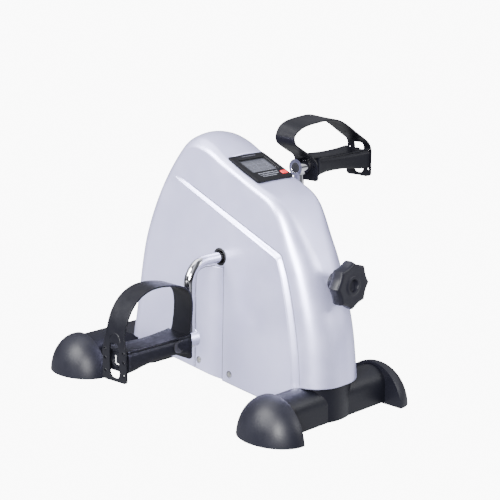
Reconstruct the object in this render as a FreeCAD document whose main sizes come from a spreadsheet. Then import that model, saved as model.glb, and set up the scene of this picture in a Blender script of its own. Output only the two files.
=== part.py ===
import FreeCAD, Part
import math
import os

# Desk-height pedal exerciser for legs and arms.
# Row frame: +X to the user's right (the crank axis runs along X), +Y away from
# the user, +Z up, origin at the middle of the box on the floor.
# The left pedal is at the bottom of its stroke and the right pedal at the top.

doc = FreeCAD.newDocument("pedal_exerciser")
V = FreeCAD.Vector

# ------------------------------------------------------------------ dimensions
sheet = doc.addObject("Spreadsheet::Sheet", "dims")
D = {}
rows = [
    ("crank_y", -39.7), ("crank_z", 173.5), ("crank_radius", 87.7), ("rod_dia", 12.5),
    ("arm_x", 90.8), ("bend_radius", 25.0), ("eye_dia", 21.0), ("eye_width", 12.6),
    ("beam_y", 165.4), ("beam_half_width", 21.0), ("beam_top", 44.8), ("beam_bottom", 2.7),
    ("beam_half_length", 92.0), ("beam_wall", 3.0),
    ("cap_rim_x", 82.2), ("cap_centre_x", 85.2), ("cap_semi_x", 34.9), ("cap_semi_y", 45.6),
    ("cap_semi_z", 51.8), ("cap_centre_z", -4.1),
    ("spine_half_width", 20.0), ("spine_height", 20.0), ("spine_wall", 2.0), ("spine_z", 44.9),
    ("spine_front", -138.0), ("spine_rear", 158.0),
    ("hood_half_top", 36.0), ("hood_half_base", 42.6), ("hood_wall", 3.0), ("panel_step", 2.4),
    ("cheek_x", 22.0), ("cheek_thick", 3.0), ("bush_outer", 20.0), ("bush_inner", 12.62),
    ("drum_dia", 60.0), ("drum_width", 30.0), ("brake_gap", 4.1),
    ("screw_z", 161.8), ("screw_dia", 8.0), ("knob_dia", 53.0), ("knob_thick", 17.0),
    ("knob_face", -166.6), ("knob_neck_dia", 20.0), ("knob_recess", 14.0),
    ("console_width", 57.7), ("console_length", 54.6), ("console_tilt", 23.57),
    ("console_y", -23.9), ("console_z", 275.8), ("bezel_thick", 3.6),
    ("pedal_inner", 106.2), ("pedal_outer", 198.6), ("pedal_width", 40.0), ("pedal_top", 12.6),
    ("pedal_bottom", 11.6), ("pedal_bore", 14.0), ("spindle_dia", 10.0), ("strap_thick", 2.0),
    ("strap_width", 30.0), ("strap_plate_width", 40.0),
]
for i, (alias, value) in enumerate(rows):
    sheet.set("A%d" % (i + 1), alias.replace("_", " "))
    sheet.set("B%d" % (i + 1), str(value))
    sheet.setAlias("B%d" % (i + 1), alias)
    D[alias] = value
doc.recompute()

CY = D["crank_y"]
CZ = D["crank_z"]
nodes = []


def keep(obj, label):
    obj.Label = label
    nodes.append(obj)
    return obj


def bind(obj, **sizes):
    for prop, expr in sizes.items():
        obj.setExpression(prop.replace("__", "."), str(expr))


def place(obj, x, y, z, axis=None, angle=0.0):
    if axis is not None:
        obj.Placement = FreeCAD.Placement(V(0, 0, 0), FreeCAD.Rotation(V(*axis), angle))
    obj.setExpression(".Placement.Base.x", str(x))
    obj.setExpression(".Placement.Base.y", str(y))
    obj.setExpression(".Placement.Base.z", str(z))
    return obj


def box(name, lx, ly, lz, x, y, z):
    o = doc.addObject("Part::Box", name)
    bind(o, Length=lx, Width=ly, Height=lz)
    return place(o, x, y, z)


# A cylinder that starts at x, y, z and runs along the named axis.
def cyl(name, radius, height, x, y, z, along="Z"):
    o = doc.addObject("Part::Cylinder", name)
    bind(o, Radius=radius, Height=height)
    turn = {"Z": (None, 0), "X": ((0, 1, 0), 90), "Y": ((1, 0, 0), -90)}[along]
    return place(o, x, y, z, turn[0], turn[1])


def fuse(name, parts):
    o = doc.addObject("Part::MultiFuse", name)
    o.Shapes = parts
    o.Refine = True
    return o


def cut(name, base, tools):
    tool = tools[0] if len(tools) == 1 else fuse(name + "_tools", tools)
    o = doc.addObject("Part::Cut", name)
    o.Base = base
    o.Tool = tool
    return o


def common(name, a, b):
    o = doc.addObject("Part::MultiCommon", name)
    o.Shapes = [a, b]
    return o


def feature(name, shape):
    o = doc.addObject("Part::Feature", name)
    o.Shape = shape
    return o


# A PartDesign body holding one sketch and one pad. The sketch lies on the named
# origin plane, moved along the plane's normal; loops is a list of closed lists of
# corner points, each drawn with straight lines, or a ("circle", u, v, r) entry.
def pad_body(name, plane, start, loops, length):
    body = doc.addObject("PartDesign::Body", name)
    sk = body.newObject("Sketcher::SketchObject", name + "_sketch")
    ref = [f for f in body.Origin.OriginFeatures if f.Role == plane][0]
    sk.AttachmentSupport = (ref, [""])
    sk.MapMode = "FlatFace"
    sk.setExpression("AttachmentOffset.Base.z", str(start))
    for loop in loops:
        if loop[0] == "circle":
            sk.addGeometry(Part.Circle(V(loop[1], loop[2], 0), V(0, 0, 1), loop[3]), False)
            continue
        n = len(loop)
        for i in range(n):
            a, b = loop[i], loop[(i + 1) % n]
            sk.addGeometry(Part.LineSegment(V(a[0], a[1], 0), V(b[0], b[1], 0)), False)
    pad = body.newObject("PartDesign::Pad", name + "_pad")
    pad.Profile = sk
    pad.setExpression("Length", str(length))
    return body


# Y of a point given from the crank axis.
def cy(v):
    return "dims.crank_y + (%s)" % v


# ------------------------------------------------------------------ foot beams
# Each foot is an arch-shaped moulding over a steel tube, closed by domed caps.
def arch(half, low, top, x0, x1, yc):
    r = half
    zc = top - r
    pts = [V(x0, yc - half, low), V(x0, yc - half, zc), V(x0, yc, top), V(x0, yc + half, zc), V(x0, yc + half, low)]
    wire = Part.Wire([
        Part.LineSegment(pts[0], pts[1]).toShape(),
        Part.Arc(pts[1], pts[2], pts[3]).toShape(),
        Part.LineSegment(pts[3], pts[4]).toShape(),
        Part.LineSegment(pts[4], pts[0]).toShape(),
    ])
    return Part.Face(wire).extrude(V(x1 - x0, 0, 0))


def beam_shape(yc):
    hl, w = D["beam_half_length"], D["beam_wall"]
    outer = arch(D["beam_half_width"], D["beam_bottom"], D["beam_top"], -hl, hl, yc)
    inner = arch(D["beam_half_width"] - w, D["beam_bottom"] + w, D["beam_top"] - w, -hl - 1, hl + 1, yc)
    return outer, inner


def ellipse_prism(a, b, x, y, z0, z1):
    if a >= b:
        e = Part.Ellipse(V(x + a, y, z0), V(x, y + b, z0), V(x, y, z0))
    else:
        e = Part.Ellipse(V(x, y + b, z0), V(x - a, y, z0), V(x, y, z0))
    return Part.Face(Part.Wire([e.toShape()])).extrude(V(0, 0, z1 - z0))


front_y, rear_y = -D["beam_y"], D["beam_y"]
outer, inner = beam_shape(front_y)
neck = ellipse_prism(36.5, 24.5, 0, front_y + 0.5, D["beam_bottom"], D["beam_top"] - 0.05)
neck_core = ellipse_prism(33.5, 21.5, 0, front_y + 0.5, D["beam_bottom"] + 3, D["beam_top"] - 3)
front_shape = outer.fuse(neck).cut(inner).cut(neck_core)
holes = [Part.makeCylinder(4.3, 60, V(x, front_y, 0)) for x in (-10, 10)]
front_beam = keep(feature("front_beam", front_shape.cut(holes[0]).cut(holes[1]).removeSplitter()), "front_foot_beam")

outer, inner = beam_shape(rear_y)
saddle = Part.makeBox(72, 68, 34.7, V(-36, rear_y - 68, 10.0))
edges = [e for e in saddle.Edges if abs(e.BoundBox.ZLength - 34.7) < 0.01 and e.BoundBox.YMin < rear_y - 60]
saddle = saddle.makeFillet(16, edges)
saddle_core = Part.makeBox(66, 70, 12, V(-33, rear_y - 65, 9.0))
tongue_slot = Part.makeBox(34.4, 82, 4.4, V(-17.2, rear_y - 66, 33.8))
rear_shape = outer.fuse(saddle).cut(inner).cut(saddle_core).cut(tongue_slot)
for x in (-10, 10):
    rear_shape = rear_shape.cut(Part.makeCylinder(4.3, 30, V(x, CY + 148, 30)))
rear_beam = keep(feature("rear_beam", rear_shape.removeSplitter()), "rear_foot_beam")

# Domed foot caps: part of an ellipsoid, flat on the floor, with a pocket for the beam.
for name, sx, yc in (("front_left", -1, front_y), ("front_right", 1, front_y), ("rear_left", -1, rear_y), ("rear_right", 1, rear_y)):
    dome = Part.makeSphere(1.0)
    m = FreeCAD.Matrix()
    m.scale(D["cap_semi_x"], D["cap_semi_y"], D["cap_semi_z"])
    dome = dome.transformGeometry(m)
    dome.translate(V(sx * D["cap_centre_x"], yc, D["cap_centre_z"]))
    if sx > 0:
        keep_box = Part.makeBox(60, 120, 80, V(D["cap_rim_x"], yc - 60, 0))
    else:
        keep_box = Part.makeBox(60, 120, 80, V(-D["cap_rim_x"] - 60, yc - 60, 0))
    cap = dome.common(keep_box)
    pocket_end = D["beam_half_length"] + 0.2
    x0, x1 = sorted((sx * (D["cap_rim_x"] - 1), sx * pocket_end))
    pocket = arch(D["beam_half_width"] + 0.15, D["beam_bottom"] - 0.15, D["beam_top"] + 0.15, x0, x1, yc)
    keep(feature(name + "_cap", cap.cut(pocket)), name + "_foot_cap")

# Steel cross tubes inside the feet.
for name, yc in (("front", "-dims.beam_y"), ("rear", "dims.beam_y")):
    o = box(name + "_tube_outer", 176, 24, 23.6, -88, yc + " - 12", 10)
    i = box(name + "_tube_inner", 180, 20, 19.6, -90, yc + " - 10", 12)
    tools = [i]
    for k, x in enumerate((-10, 10)):
        tools.append(cyl("%s_tube_hole%d" % (name, k), 4.3, 60, x, yc, 0))
    keep(cut(name + "_tube", o, tools), name + "_cross_tube")

# Rear tongue: a flat bar from the spine back to the rear cross tube.
tools = [cyl("tongue_hole%d" % i, 4.3, 20, x, y, 26) for i, (x, y) in enumerate(
    ((-10, "dims.beam_y"), (10, "dims.beam_y"), (-10, cy(148)), (10, cy(148))))]
keep(cut("tongue", box("tongue_plate", 34, 80, 4, -17, "dims.beam_y - 65.5", 34), tools), "rear_tongue")

# Spine: a rectangular steel tube inside the hood.
so = box("spine_outer", "2 * dims.spine_half_width", "dims.spine_rear - dims.spine_front", "dims.spine_height",
         "-dims.spine_half_width", cy("dims.spine_front"), "dims.spine_z")
si = box("spine_inner", "2 * (dims.spine_half_width - dims.spine_wall)", "dims.spine_rear - dims.spine_front + 20",
         "dims.spine_height - 2 * dims.spine_wall", "-dims.spine_half_width + dims.spine_wall",
         cy("dims.spine_front - 10"), "dims.spine_z + dims.spine_wall")
tools = [si]
for i, (x, y) in enumerate(((-10, "-dims.beam_y"), (10, "-dims.beam_y"), (-10, cy(148)), (10, cy(148)))):
    tools.append(cyl("spine_hole%d" % i, 4.3, 40, x, y, 40))
keep(cut("spine", so, tools), "base_spine")

# Frame bolts: hexagon heads on the spine, and two short ones in the rear beam.
parts = []
for i, (x, y, low) in enumerate(((-10, "-dims.beam_y", 11), (10, "-dims.beam_y", 11), (-10, cy(148), 30.5), (10, cy(148), 30.5))):
    parts.append(("frame", i, x, y, 65.0, low))
for i, x in enumerate((-10, 10)):
    parts.append(("tongue", i, x, "dims.beam_y", 38.1, 8.5))
groups = {"frame": [], "tongue": []}
for kind, i, x, y, seat, low in parts:
    shank = cyl("%s_shank%d" % (kind, i), 4, "%s - %s" % (seat + 1, low), x, y, low)
    head = doc.addObject("Part::Prism", "%s_head%d" % (kind, i))
    head.Polygon = 6
    bind(head, Circumradius="6.4" if kind == "tongue" else "7.0", Height="2.6" if kind == "tongue" else "5.2")
    place(head, x, y, seat)
    groups[kind].append(fuse("%s_bolt%d" % (kind, i), [shank, head]))
for kind, label in (("frame", "frame_bolts"), ("tongue", "rear_tongue_bolts")):
    g = doc.addObject("Part::Compound", kind + "_group")
    g.Links = groups[kind]
    keep(g, label)

# ------------------------------------------------------------------ hood
# Side outline of the hood from the rear foot over the crest to the front foot,
# given from the crank axis (y, z).
outline = [(170.5, 45.0), (164.0, 76.0), (156.5, 112.0), (150.5, 140.0), (141.0, 174.5), (124.0, 213.4), (102.5, 250.0),
           (80.0, 282.5), (66.5, 298.0), (52.0, 304.5), (36.0, 303.0), (20.0, 297.0), (6.0, 288.2), (-20.0, 275.4),
           (-49.0, 262.4), (-65.0, 256.2), (-78.0, 250.0), (-89.0, 240.5), (-98.0, 228.0), (-111.5, 204.0), (-123.0, 183.0),
           (-133.5, 155.0), (-143.0, 124.0), (-149.0, 98.0), (-152.5, 71.0), (-154.8, 45.2)]


def moved(points, off):
    out = []
    for i in range(len(points)):
        a = points[max(0, i - 1)]
        b = points[min(len(points) - 1, i + 1)]
        ty, tz = b[0] - a[0], b[1] - a[1]
        n = math.hypot(ty, tz)
        # the outline runs rear to front, so its inner side is on the left of travel
        out.append((points[i][0] - tz / n * off, points[i][1] + ty / n * off))
    return out


def hood_block(off, step=0.0, bottom=None, round_edges=14.0):
    pts = moved(outline, off) if off else list(outline)
    spline = Part.BSplineCurve()
    spline.interpolate([V(0, y + CY, z) for y, z in pts])
    first, last = pts[0], pts[-1]
    if bottom is None:
        # the lower edge drops behind the front foot, following its round back
        low = [last, (-125.7, 45.2)]
        low += [(-125.7 + 21.4 * math.sin(math.radians(a)), 23.8 + 21.4 * math.cos(math.radians(a))) for a in (20, 35, 50, 65, 80, 90)]
        low += [(-104.3, 17.0), (146.0, 41.0), (150.0, 45.0), first]
    else:
        low = [last, (last[0], bottom), (first[0], bottom), first]
    edges = [spline.toShape()]
    for a, b in zip(low[:-1], low[1:]):
        if math.hypot(a[0] - b[0], a[1] - b[1]) > 1e-6:
            edges.append(Part.LineSegment(V(0, a[0] + CY, a[1]), V(0, b[0] + CY, b[1])).toShape())
    face = Part.Face(Part.Wire(edges))
    face.translate(V(-60, 0, 0))
    block = face.extrude(V(120, 0, 0))
    # both sides lean in towards the crest
    top, base = D["hood_half_top"] - off + step, D["hood_half_base"] - off + step
    lean = (base - top) / (300.0 - 20.0)
    zb, zt = -10.0, 330.0
    wb, wt = base + lean * (20.0 - zb), base - lean * (zt - 20.0)
    slab = Part.Face(Part.makePolygon([V(-wb, -260, zb), V(wb, -260, zb), V(wt, -260, zt), V(-wt, -260, zt), V(-wb, -260, zb)])).extrude(V(0, 520, 0))
    solid = block.common(slab)
    if round_edges:
        es = []
        for e in solid.Edges:
            b = e.BoundBox
            if b.YLength > 200 and b.ZLength > 150:
                es.append(e)
        solid = solid.makeFillet(round_edges, es)
    return solid


hood_outer = hood_block(0.0)
hood_inner = hood_block(D["hood_wall"], bottom=-5.0, round_edges=11.0)

# Raised side panel: a low step that follows the sloping ridge and the front edge.
ridge = [(62, 253.5), (-94, 190.5), (-99.5, 185.5), (-106.5, 163), (-115, 131), (-121.5, 89), (-124.5, 45.3), (-118.4, 43.9), (-113.4, 41.3), (-109.3, 37.6),
         (-106.3, 32.8), (-104.6, 27.5), (-104.3, 17),
         (142, 40.6), (134, 90), (129, 130), (120, 168), (104, 206), (84, 240), (75, 250), (68, 254)]
pw = Part.makePolygon([V(-60, y + CY, z) for y, z in ridge] + [V(-60, ridge[0][0] + CY, ridge[0][1])])
panel = Part.Face(pw).extrude(V(120, 0, 0)).common(hood_block(0.0, step=D["panel_step"], round_edges=0))
hood_full = hood_outer.fuse(panel).cut(hood_inner)

# Openings: the console, the two crank slots, and the knob screw.
tilt = FreeCAD.Rotation(V(1, 0, 0), D["console_tilt"])
console_pl = FreeCAD.Placement(V(0, CY + D["console_y"], D["console_z"]), tilt)
opening = Part.makeBox(D["console_width"] + 0.6, D["console_length"] + 0.6, 26, V(-D["console_width"] / 2 - 0.3, -D["console_length"] / 2 - 0.3, -14))
opening.Placement = console_pl
hood_full = hood_full.cut(opening)
knob_hole = Part.makeCylinder(5.5, 60, V(0, CY - 170, D["screw_z"]), V(0, 1, 0))
hood_full = hood_full.cut(knob_hole)


def slot_region(gap):
    a = Part.makePolygon([V(-60, CY + y, z) for y, z in (
        (-7 + gap, 0), (-7 + gap, 172), (9 - gap, 172), (13 - gap, 161 - gap), (24, 158 - gap), (36 - gap, 151 - gap),
        (41 - gap, 140), (41 - gap, 0), (-7 + gap, 0))])
    return Part.Face(a).extrude(V(120, 0, 0))


crank_hole = Part.makeCylinder(10.2, 140, V(-70, CY, CZ), V(1, 0, 0))
hood_shape = hood_full.cut(slot_region(0.0)).cut(crank_hole)
strip = hood_full.common(slot_region(0.3)).cut(Part.makeCylinder(10.5, 140, V(-70, CY, CZ), V(1, 0, 0)))
# cover screws: one in the slot strip and one in the hood on each side
screw_spots = [(34.0, 42.0), (-18.7, 36.5)]
for y, z in screw_spots:
    bore = Part.makeCylinder(1.9, 120, V(-60, CY + y, z), V(1, 0, 0))
    hood_shape = hood_shape.cut(bore)
    strip = strip.cut(bore)
    for sx in (-1, 1):
        sink = Part.makeCylinder(3.9, 10, V(sx * 43.0, CY + y, z), V(sx, 0, 0))
        hood_shape = hood_shape.cut(sink)
        strip = strip.cut(sink)
keep(feature("hood", hood_shape), "cover_hood")
for label, sx in (("left_slot_cover", -1), ("right_slot_cover", 1)):
    half = Part.makeBox(60, 520, 340, V(-60 if sx < 0 else 0, -260, 0))
    keep(feature(label + "_part", strip.common(half)), label)

# Hood screws.
screws = []
for sx in (-1, 1):
    for y, z in screw_spots:
        head = Part.makeCylinder(3.6, 1.3, V(sx * 43.05, CY + y, z), V(sx, 0, 0))
        shank = Part.makeCylinder(1.75, 9.5, V(sx * 43.1, CY + y, z), V(-sx, 0, 0))
        cross = Part.makeBox(1.6, 4.2, 0.9, V(-0.8 + sx * 44.5, CY + y - 2.1, z - 0.45)).fuse(
            Part.makeBox(1.6, 0.9, 4.2, V(-0.8 + sx * 44.5, CY + y - 0.45, z - 2.1)))
        screws.append(head.fuse(shank).cut(cross))
keep(feature("screws", Part.makeCompound(screws)), "hood_screws")

# Grommets that line the crank holes.
for label, sx in (("left_crank_grommet", -1), ("right_crank_grommet", 1)):
    x0 = 33.0 if sx > 0 else -42.8
    tube = cyl(label + "_tube", 10.1, 9.8, x0, cy(0), "dims.crank_z", "X")
    hole = cyl(label + "_hole", 7.3, 30, x0 - 5, cy(0), "dims.crank_z", "X")
    keep(cut(label + "_cut", tube, [hole]), label)

# Brackets that carry the hood on the spine.
for label, sx in (("left_hood_bracket", -1), ("right_hood_bracket", 1)):
    x_side = 35.4 if sx > 0 else -37.4
    x_top = 0.3 + 20 if sx > 0 else -35.4
    side = box(label + "_side", 2, 76, 31, x_side, cy(-30), 28)
    top = box(label + "_top", 15.1, 76, 2, x_top, cy(-30), 57)
    tools = [cyl("%s_hole%d" % (label, i), 1.85, 12, -6 + (36.4 if sx > 0 else -36.4), cy(y), z, "X") for i, (y, z) in enumerate(screw_spots)]
    keep(cut(label + "_cut", fuse(label + "_fuse", [side, top]), tools), label)

# ------------------------------------------------------------------ crank bearings
# The bracket is a folded plate: a foot on the spine and two cheeks with bores.
bz = "dims.spine_z + dims.spine_height + 0.1"
foot = box("bracket_foot", "2 * (dims.cheek_x + dims.cheek_thick)", 60, 3, "-dims.cheek_x - dims.cheek_thick", cy(-30), bz)
cheeks = [foot]
for i, x in enumerate(("-dims.cheek_x - dims.cheek_thick", "dims.cheek_x")):
    cheeks.append(box("cheek%d" % i, "dims.cheek_thick", 44, "dims.crank_z + 16 - (%s)" % bz, x, cy(-22), bz))
bore = cyl("cheek_bore", "dims.bush_outer / 2", 80, -40, cy(0), "dims.crank_z", "X")
tools = [bore]
for i, (x, y) in enumerate(((-12, -24), (12, -24), (-12, 24), (12, 24))):
    tools.append(cyl("bracket_hole%d" % i, 3.2, 10, x, cy(y), 62))
keep(cut("bracket", fuse("bracket_fuse", cheeks), tools), "bearing_bracket")
bolts = []
for i, (x, y) in enumerate(((-12, -24), (12, -24), (-12, 24), (12, 24))):
    s1 = cyl("bracket_shank%d" % i, 3, 3.2, x, cy(y), 65.1)
    s2 = cyl("bracket_screw_head%d" % i, 5, 3, x, cy(y), 68.1)
    bolts.append(fuse("bracket_bolt%d" % i, [s1, s2]))
g = doc.addObject("Part::Compound", "bracket_bolt_group")
g.Links = bolts
keep(g, "bracket_bolts")

# Flanged nylon bushes in the cheeks.
for label, sx in (("left_shaft_bush", -1), ("right_shaft_bush", 1)):
    sleeve = cyl(label + "_sleeve", "dims.bush_outer / 2", 9, 21.5 if sx > 0 else -30.5, cy(0), "dims.crank_z", "X")
    flange = cyl(label + "_flange", 13, 2, 25.1 if sx > 0 else -27.1, cy(0), "dims.crank_z", "X")
    hole = cyl(label + "_hole", "dims.bush_inner / 2", 40, 10 if sx > 0 else -50, cy(0), "dims.crank_z", "X")
    keep(cut(label + "_cut", fuse(label + "_fuse", [sleeve, flange]), [hole]), label)

# ------------------------------------------------------------------ crank
# One bent rod: the shaft, two large bends, two arms and an eye at each end.
def crank_half(sx, up):
    r, rb, ax, cr = D["rod_dia"] / 2, D["bend_radius"], D["arm_x"], D["crank_radius"]
    run = Part.makeCylinder(r, ax - rb, V(0, CY, CZ), V(sx, 0, 0))
    torus = Part.makeTorus(rb, r)
    torus.Placement = FreeCAD.Placement(V(sx * (ax - rb), CY, CZ + up * rb), FreeCAD.Rotation(V(1, 0, 0), 90))
    lo_x = sx * (ax - rb) if sx > 0 else sx * (ax + r + 1)
    quarter = Part.makeBox(rb + r + 1, 40, rb + r + 1, V(lo_x, CY - 20, CZ - r - 1 if up > 0 else CZ - rb))
    bend = torus.common(quarter)
    arm = Part.makeCylinder(r, cr - rb - 6, V(sx * ax, CY, CZ + up * rb), V(0, 0, up))
    w = D["eye_width"]
    eye = Part.makeCylinder(D["eye_dia"] / 2, w, V(sx * ax - w / 2, CY, CZ + up * cr), V(1, 0, 0))
    thread = Part.makeCylinder(D["spindle_dia"] / 2 + 1.5, w + 4, V(sx * ax - w / 2 - 2, CY, CZ + up * cr), V(1, 0, 0))
    return run.fuse(bend).fuse(arm).fuse(eye).cut(thread)


rod = crank_half(-1, -1).fuse(crank_half(1, 1))
pin_hole = Part.makeCylinder(2.5, 40, V(0, CY, CZ - 20), V(0, 0, 1))
keep(feature("crank_rod", rod.cut(pin_hole).removeSplitter()), "crank_shaft")

drum = cyl("drum_disc", "dims.drum_dia / 2", "dims.drum_width", "-dims.drum_width / 2", cy(0), "dims.crank_z", "X")
drum_tools = [cyl("drum_bore", "dims.rod_dia / 2", 60, -30, cy(0), "dims.crank_z", "X"),
              cyl("drum_pin_hole", 2.5, 80, 0, cy(0), "dims.crank_z - 40")]
for i in range(6):
    a = math.radians(60 * i)
    drum_tools.append(cyl("drum_pocket%d" % i, 6, 10, 6, cy(round(20 * math.sin(a), 4)), "dims.crank_z + %.4f" % (20 * math.cos(a)), "X"))
drum_tools.append(cyl("magnet_pocket", 3, 4, -15.5, cy(24), "dims.crank_z", "X"))
keep(cut("drum", drum, drum_tools), "brake_drum")
keep(cyl("drum_pin_rod", 2.5, 44, 0, cy(0), "dims.crank_z - 22"), "drum_pin")
keep(cyl("magnet_disc", 3, 2.9, -14.9, cy(24), "dims.crank_z", "X"), "speed_magnet")
rings = []
for i, x in enumerate((-32.2, 31.0)):
    ring = cyl("ring_disc%d" % i, 10, 1.2, x, cy(0), "dims.crank_z", "X")
    hole = cyl("ring_hole%d" % i, "dims.rod_dia / 2", 4, x - 1, cy(0), "dims.crank_z", "X")
    rings.append(cut("ring%d" % i, ring, [hole]))
g = doc.addObject("Part::Compound", "ring_group")
g.Links = rings
keep(g, "shaft_rings")

# Reed switch on a small arm of the left cheek, facing the magnet's path.
reed = box("reed_block", 4, 14, 6, -20.9, cy(17), "dims.crank_z - 3")
keep(reed, "reed_switch")

# ------------------------------------------------------------------ brake and knob
# The post holds the knob screw and guides the brake block.
post = box("post_plate", 33, 4, "185 - (%s)" % bz, -16.5, cy(-104), bz)
arms = [post]
for i, x in enumerate((-16.5, 14.5)):
    arms.append(box("post_arm%d" % i, 2, 68, "185 - (%s)" % bz, x, cy(-104), bz))
post_hole = cyl("post_hole", 4.4, 20, 0, cy(-112), "dims.screw_z", "Y")
keep(cut("post", fuse("post_fuse", arms), [post_hole]), "tension_post")

block = Part.makeBox(28, 46, 40, V(-14, CY - 66, 150)).cut(Part.makeCylinder(34.4, 60, V(-30, CY - D["brake_gap"], CZ), V(1, 0, 0)))
block = block.cut(Part.makeCylinder(4.08, 60, V(0, CY - 80, D["screw_z"]), V(0, 1, 0)))
keep(feature("brake_carrier", block), "brake_block")
felt = Part.makeBox(26, 46, 36, V(-13, CY - 66, 152)).common(
    Part.makeCylinder(34.3, 60, V(-30, CY - D["brake_gap"], CZ), V(1, 0, 0))).cut(
    Part.makeCylinder(30.3, 60, V(-30, CY - D["brake_gap"], CZ), V(1, 0, 0)))
keep(feature("brake_felt", felt), "brake_felt_pad")

keep(cyl("screw_rod", "dims.screw_dia / 2", 102, 0, cy(-158), "dims.screw_z", "Y"), "tension_screw")
for label, r, y, h in (("screw_thrust_washer", 9, -106.2, 1.8), ("screw_collar", 8, -99.6, 6)):
    disc = cyl(label + "_disc", r, h, 0, cy(y), "dims.screw_z", "Y")
    hole = cyl(label + "_hole", "dims.screw_dia / 2", 20, 0, cy(y - 5), "dims.screw_z", "Y")
    keep(cut(label + "_cut", disc, [hole]), label)

face = D["knob_face"]
knob = cyl("knob_disc", "dims.knob_dia / 2", "dims.knob_thick", 0, cy("dims.knob_face"), "dims.screw_z", "Y")
neckc = cyl("knob_neck", "dims.knob_neck_dia / 2", 13.4, 0, cy("dims.knob_face + dims.knob_thick - 0.5"), "dims.screw_z", "Y")
tools = [cyl("knob_recess_hole", "dims.knob_recess / 2", 8.4, 0, cy("dims.knob_face - 0.1"), "dims.screw_z", "Y"),
         cyl("knob_bore", "dims.screw_dia / 2", 60, 0, cy("dims.knob_face"), "dims.screw_z", "Y")]
for i in range(8):
    a = math.radians(45 * i + 22.5)
    tools.append(cyl("knob_scallop%d" % i, 8.2, 30, "%.4f" % (32.6 * math.sin(a)), cy("dims.knob_face - 5"), "dims.screw_z + %.4f" % (32.6 * math.cos(a)), "Y"))
keep(cut("knob", fuse("knob_fuse", [knob, neckc]), tools), "tension_knob")

# ------------------------------------------------------------------ console
# Built flat around its own centre and then tilted on to the hood.
cw, cl, bt = D["console_width"], D["console_length"], D["bezel_thick"]


def console(shape, label):
    o = feature(label + "_part", shape)
    o.Placement = console_pl
    return keep(o, label)


def cbox(lx, ly, lz, x, y, z):
    return Part.makeBox(lx, ly, lz, V(x - lx / 2, y - ly / 2, z))


bezel = cbox(cw, cl, bt, 0, 0, -bt)
bezel = bezel.makeFillet(2.5, [e for e in bezel.Edges if abs(e.BoundBox.ZLength - bt) < 1e-6])
bezel = bezel.makeChamfer(0.8, [e for e in bezel.Edges if abs(e.BoundBox.ZMin) < 1e-6])
bezel = bezel.cut(cbox(42.6, 27.0, 20, 0.8, 4.5, -10))
bezel = bezel.cut(cbox(9.6, 7.2, 20, 22.0, -17.2, -10))
console(bezel, "console_bezel")
tray = cbox(52, 49, 11, 0, 0, -bt - 11.05)
tray = tray.cut(cbox(48, 45, 9.2, 0, 0, -bt - 9.2)).cut(cbox(22, 14, 6, 10, -12, -bt - 14))
console(tray, "console_tray")
console(cbox(21.6, 13.6, 1.7, 10, -12, -bt - 11.0), "battery_door")
console(cbox(42.2, 26.6, 1.2, 0.8, 4.5, -1.9), "console_window")
console(cbox(42.2, 26.6, 1.5, 0.8, 4.5, -3.5), "lcd_panel")
console(cbox(47.4, 44.4, 1.4, 0, 0, -bt - 1.5), "circuit_board")
cells = [Part.makeCylinder(5.6, 5.2, V(x, -12, -bt - 8.9)) for x in (4.0, 16.0)]
console(Part.makeCompound(cells), "button_cells")
btn = cbox(9.0, 6.6, 4.0, 22.0, -17.2, -2.4)
btn = btn.makeFillet(1.8, [e for e in btn.Edges if abs(e.BoundBox.ZLength - 4.0) < 1e-6])
btn = btn.makeFillet(0.7, [e for e in btn.Edges if abs(e.BoundBox.ZMin - 1.6) < 1e-6])
console(btn, "reset_button")


# ------------------------------------------------------------------ pedals
# sx is the side; zc the height of the pedal's spindle.
def arc_path(pts):
    s = Part.BSplineCurve()
    s.interpolate([V(x, 0, z) for x, z in pts])
    return s


def strap_shape(sx, zc, path, thick, inner_hole):
    outer_pts, inner_pts = [], []
    s = arc_path(path)
    n = 120
    for i in range(n + 1):
        u = s.FirstParameter + (s.LastParameter - s.FirstParameter) * i / n
        p = s.value(u)
        t = s.tangent(u)[0]
        nx, nz = t.z, -t.x
        outer_pts.append(V(p.x + nx * thick / 2, 0, p.z + nz * thick / 2))
        inner_pts.append(V(p.x - nx * thick / 2, 0, p.z - nz * thick / 2))
    a = Part.BSplineCurve()
    a.interpolate(outer_pts)
    b = Part.BSplineCurve()
    b.interpolate(inner_pts)
    wire = Part.Wire([a.toShape(), Part.LineSegment(outer_pts[-1], inner_pts[-1]).toShape(), b.toShape(),
                      Part.LineSegment(inner_pts[0], outer_pts[0]).toShape()])
    f = Part.Face(wire)
    pw, sw = D["strap_plate_width"] / 2, D["strap_width"] / 2
    f.translate(V(0, -pw, 0))
    band = f.extrude(V(0, 2 * pw, 0))
    mask = Part.makePolygon([V(-20, y, z) for y, z in (
        (-pw + 4, -25), (-pw, -21), (-pw, 16), (-sw, 34), (-sw, 90), (sw, 90), (sw, 34), (pw, 16), (pw, -21), (pw - 4, -25), (-pw + 4, -25))])
    band = band.common(Part.Face(mask).extrude(V(260, 0, 0)))
    # outer plate: a central window and two rows of peg holes
    band = band.cut(Part.makeBox(30, 15, 47, V(180, -7.5, -17)))
    for y in (-13.5, 13.5):
        for z in (-12, 0, 12):
            band = band.cut(Part.makeCylinder(2.2, 30, V(180, y, z), V(1, 0, 0)))
    # inner plate: the spindle's hole and two peg holes
    band = band.cut(Part.makeCylinder(inner_hole, 20, V(95, 0, 0), V(1, 0, 0)))
    for y in (-14.0, 14.0):
        band = band.cut(Part.makeCylinder(2.2, 14, V(98, y, -6), V(1, 0, 0)))
    if sx < 0:
        band = band.mirror(V(0, 0, 0), V(1, 0, 0))
    band.translate(V(0, CY, zc))
    return band


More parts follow.
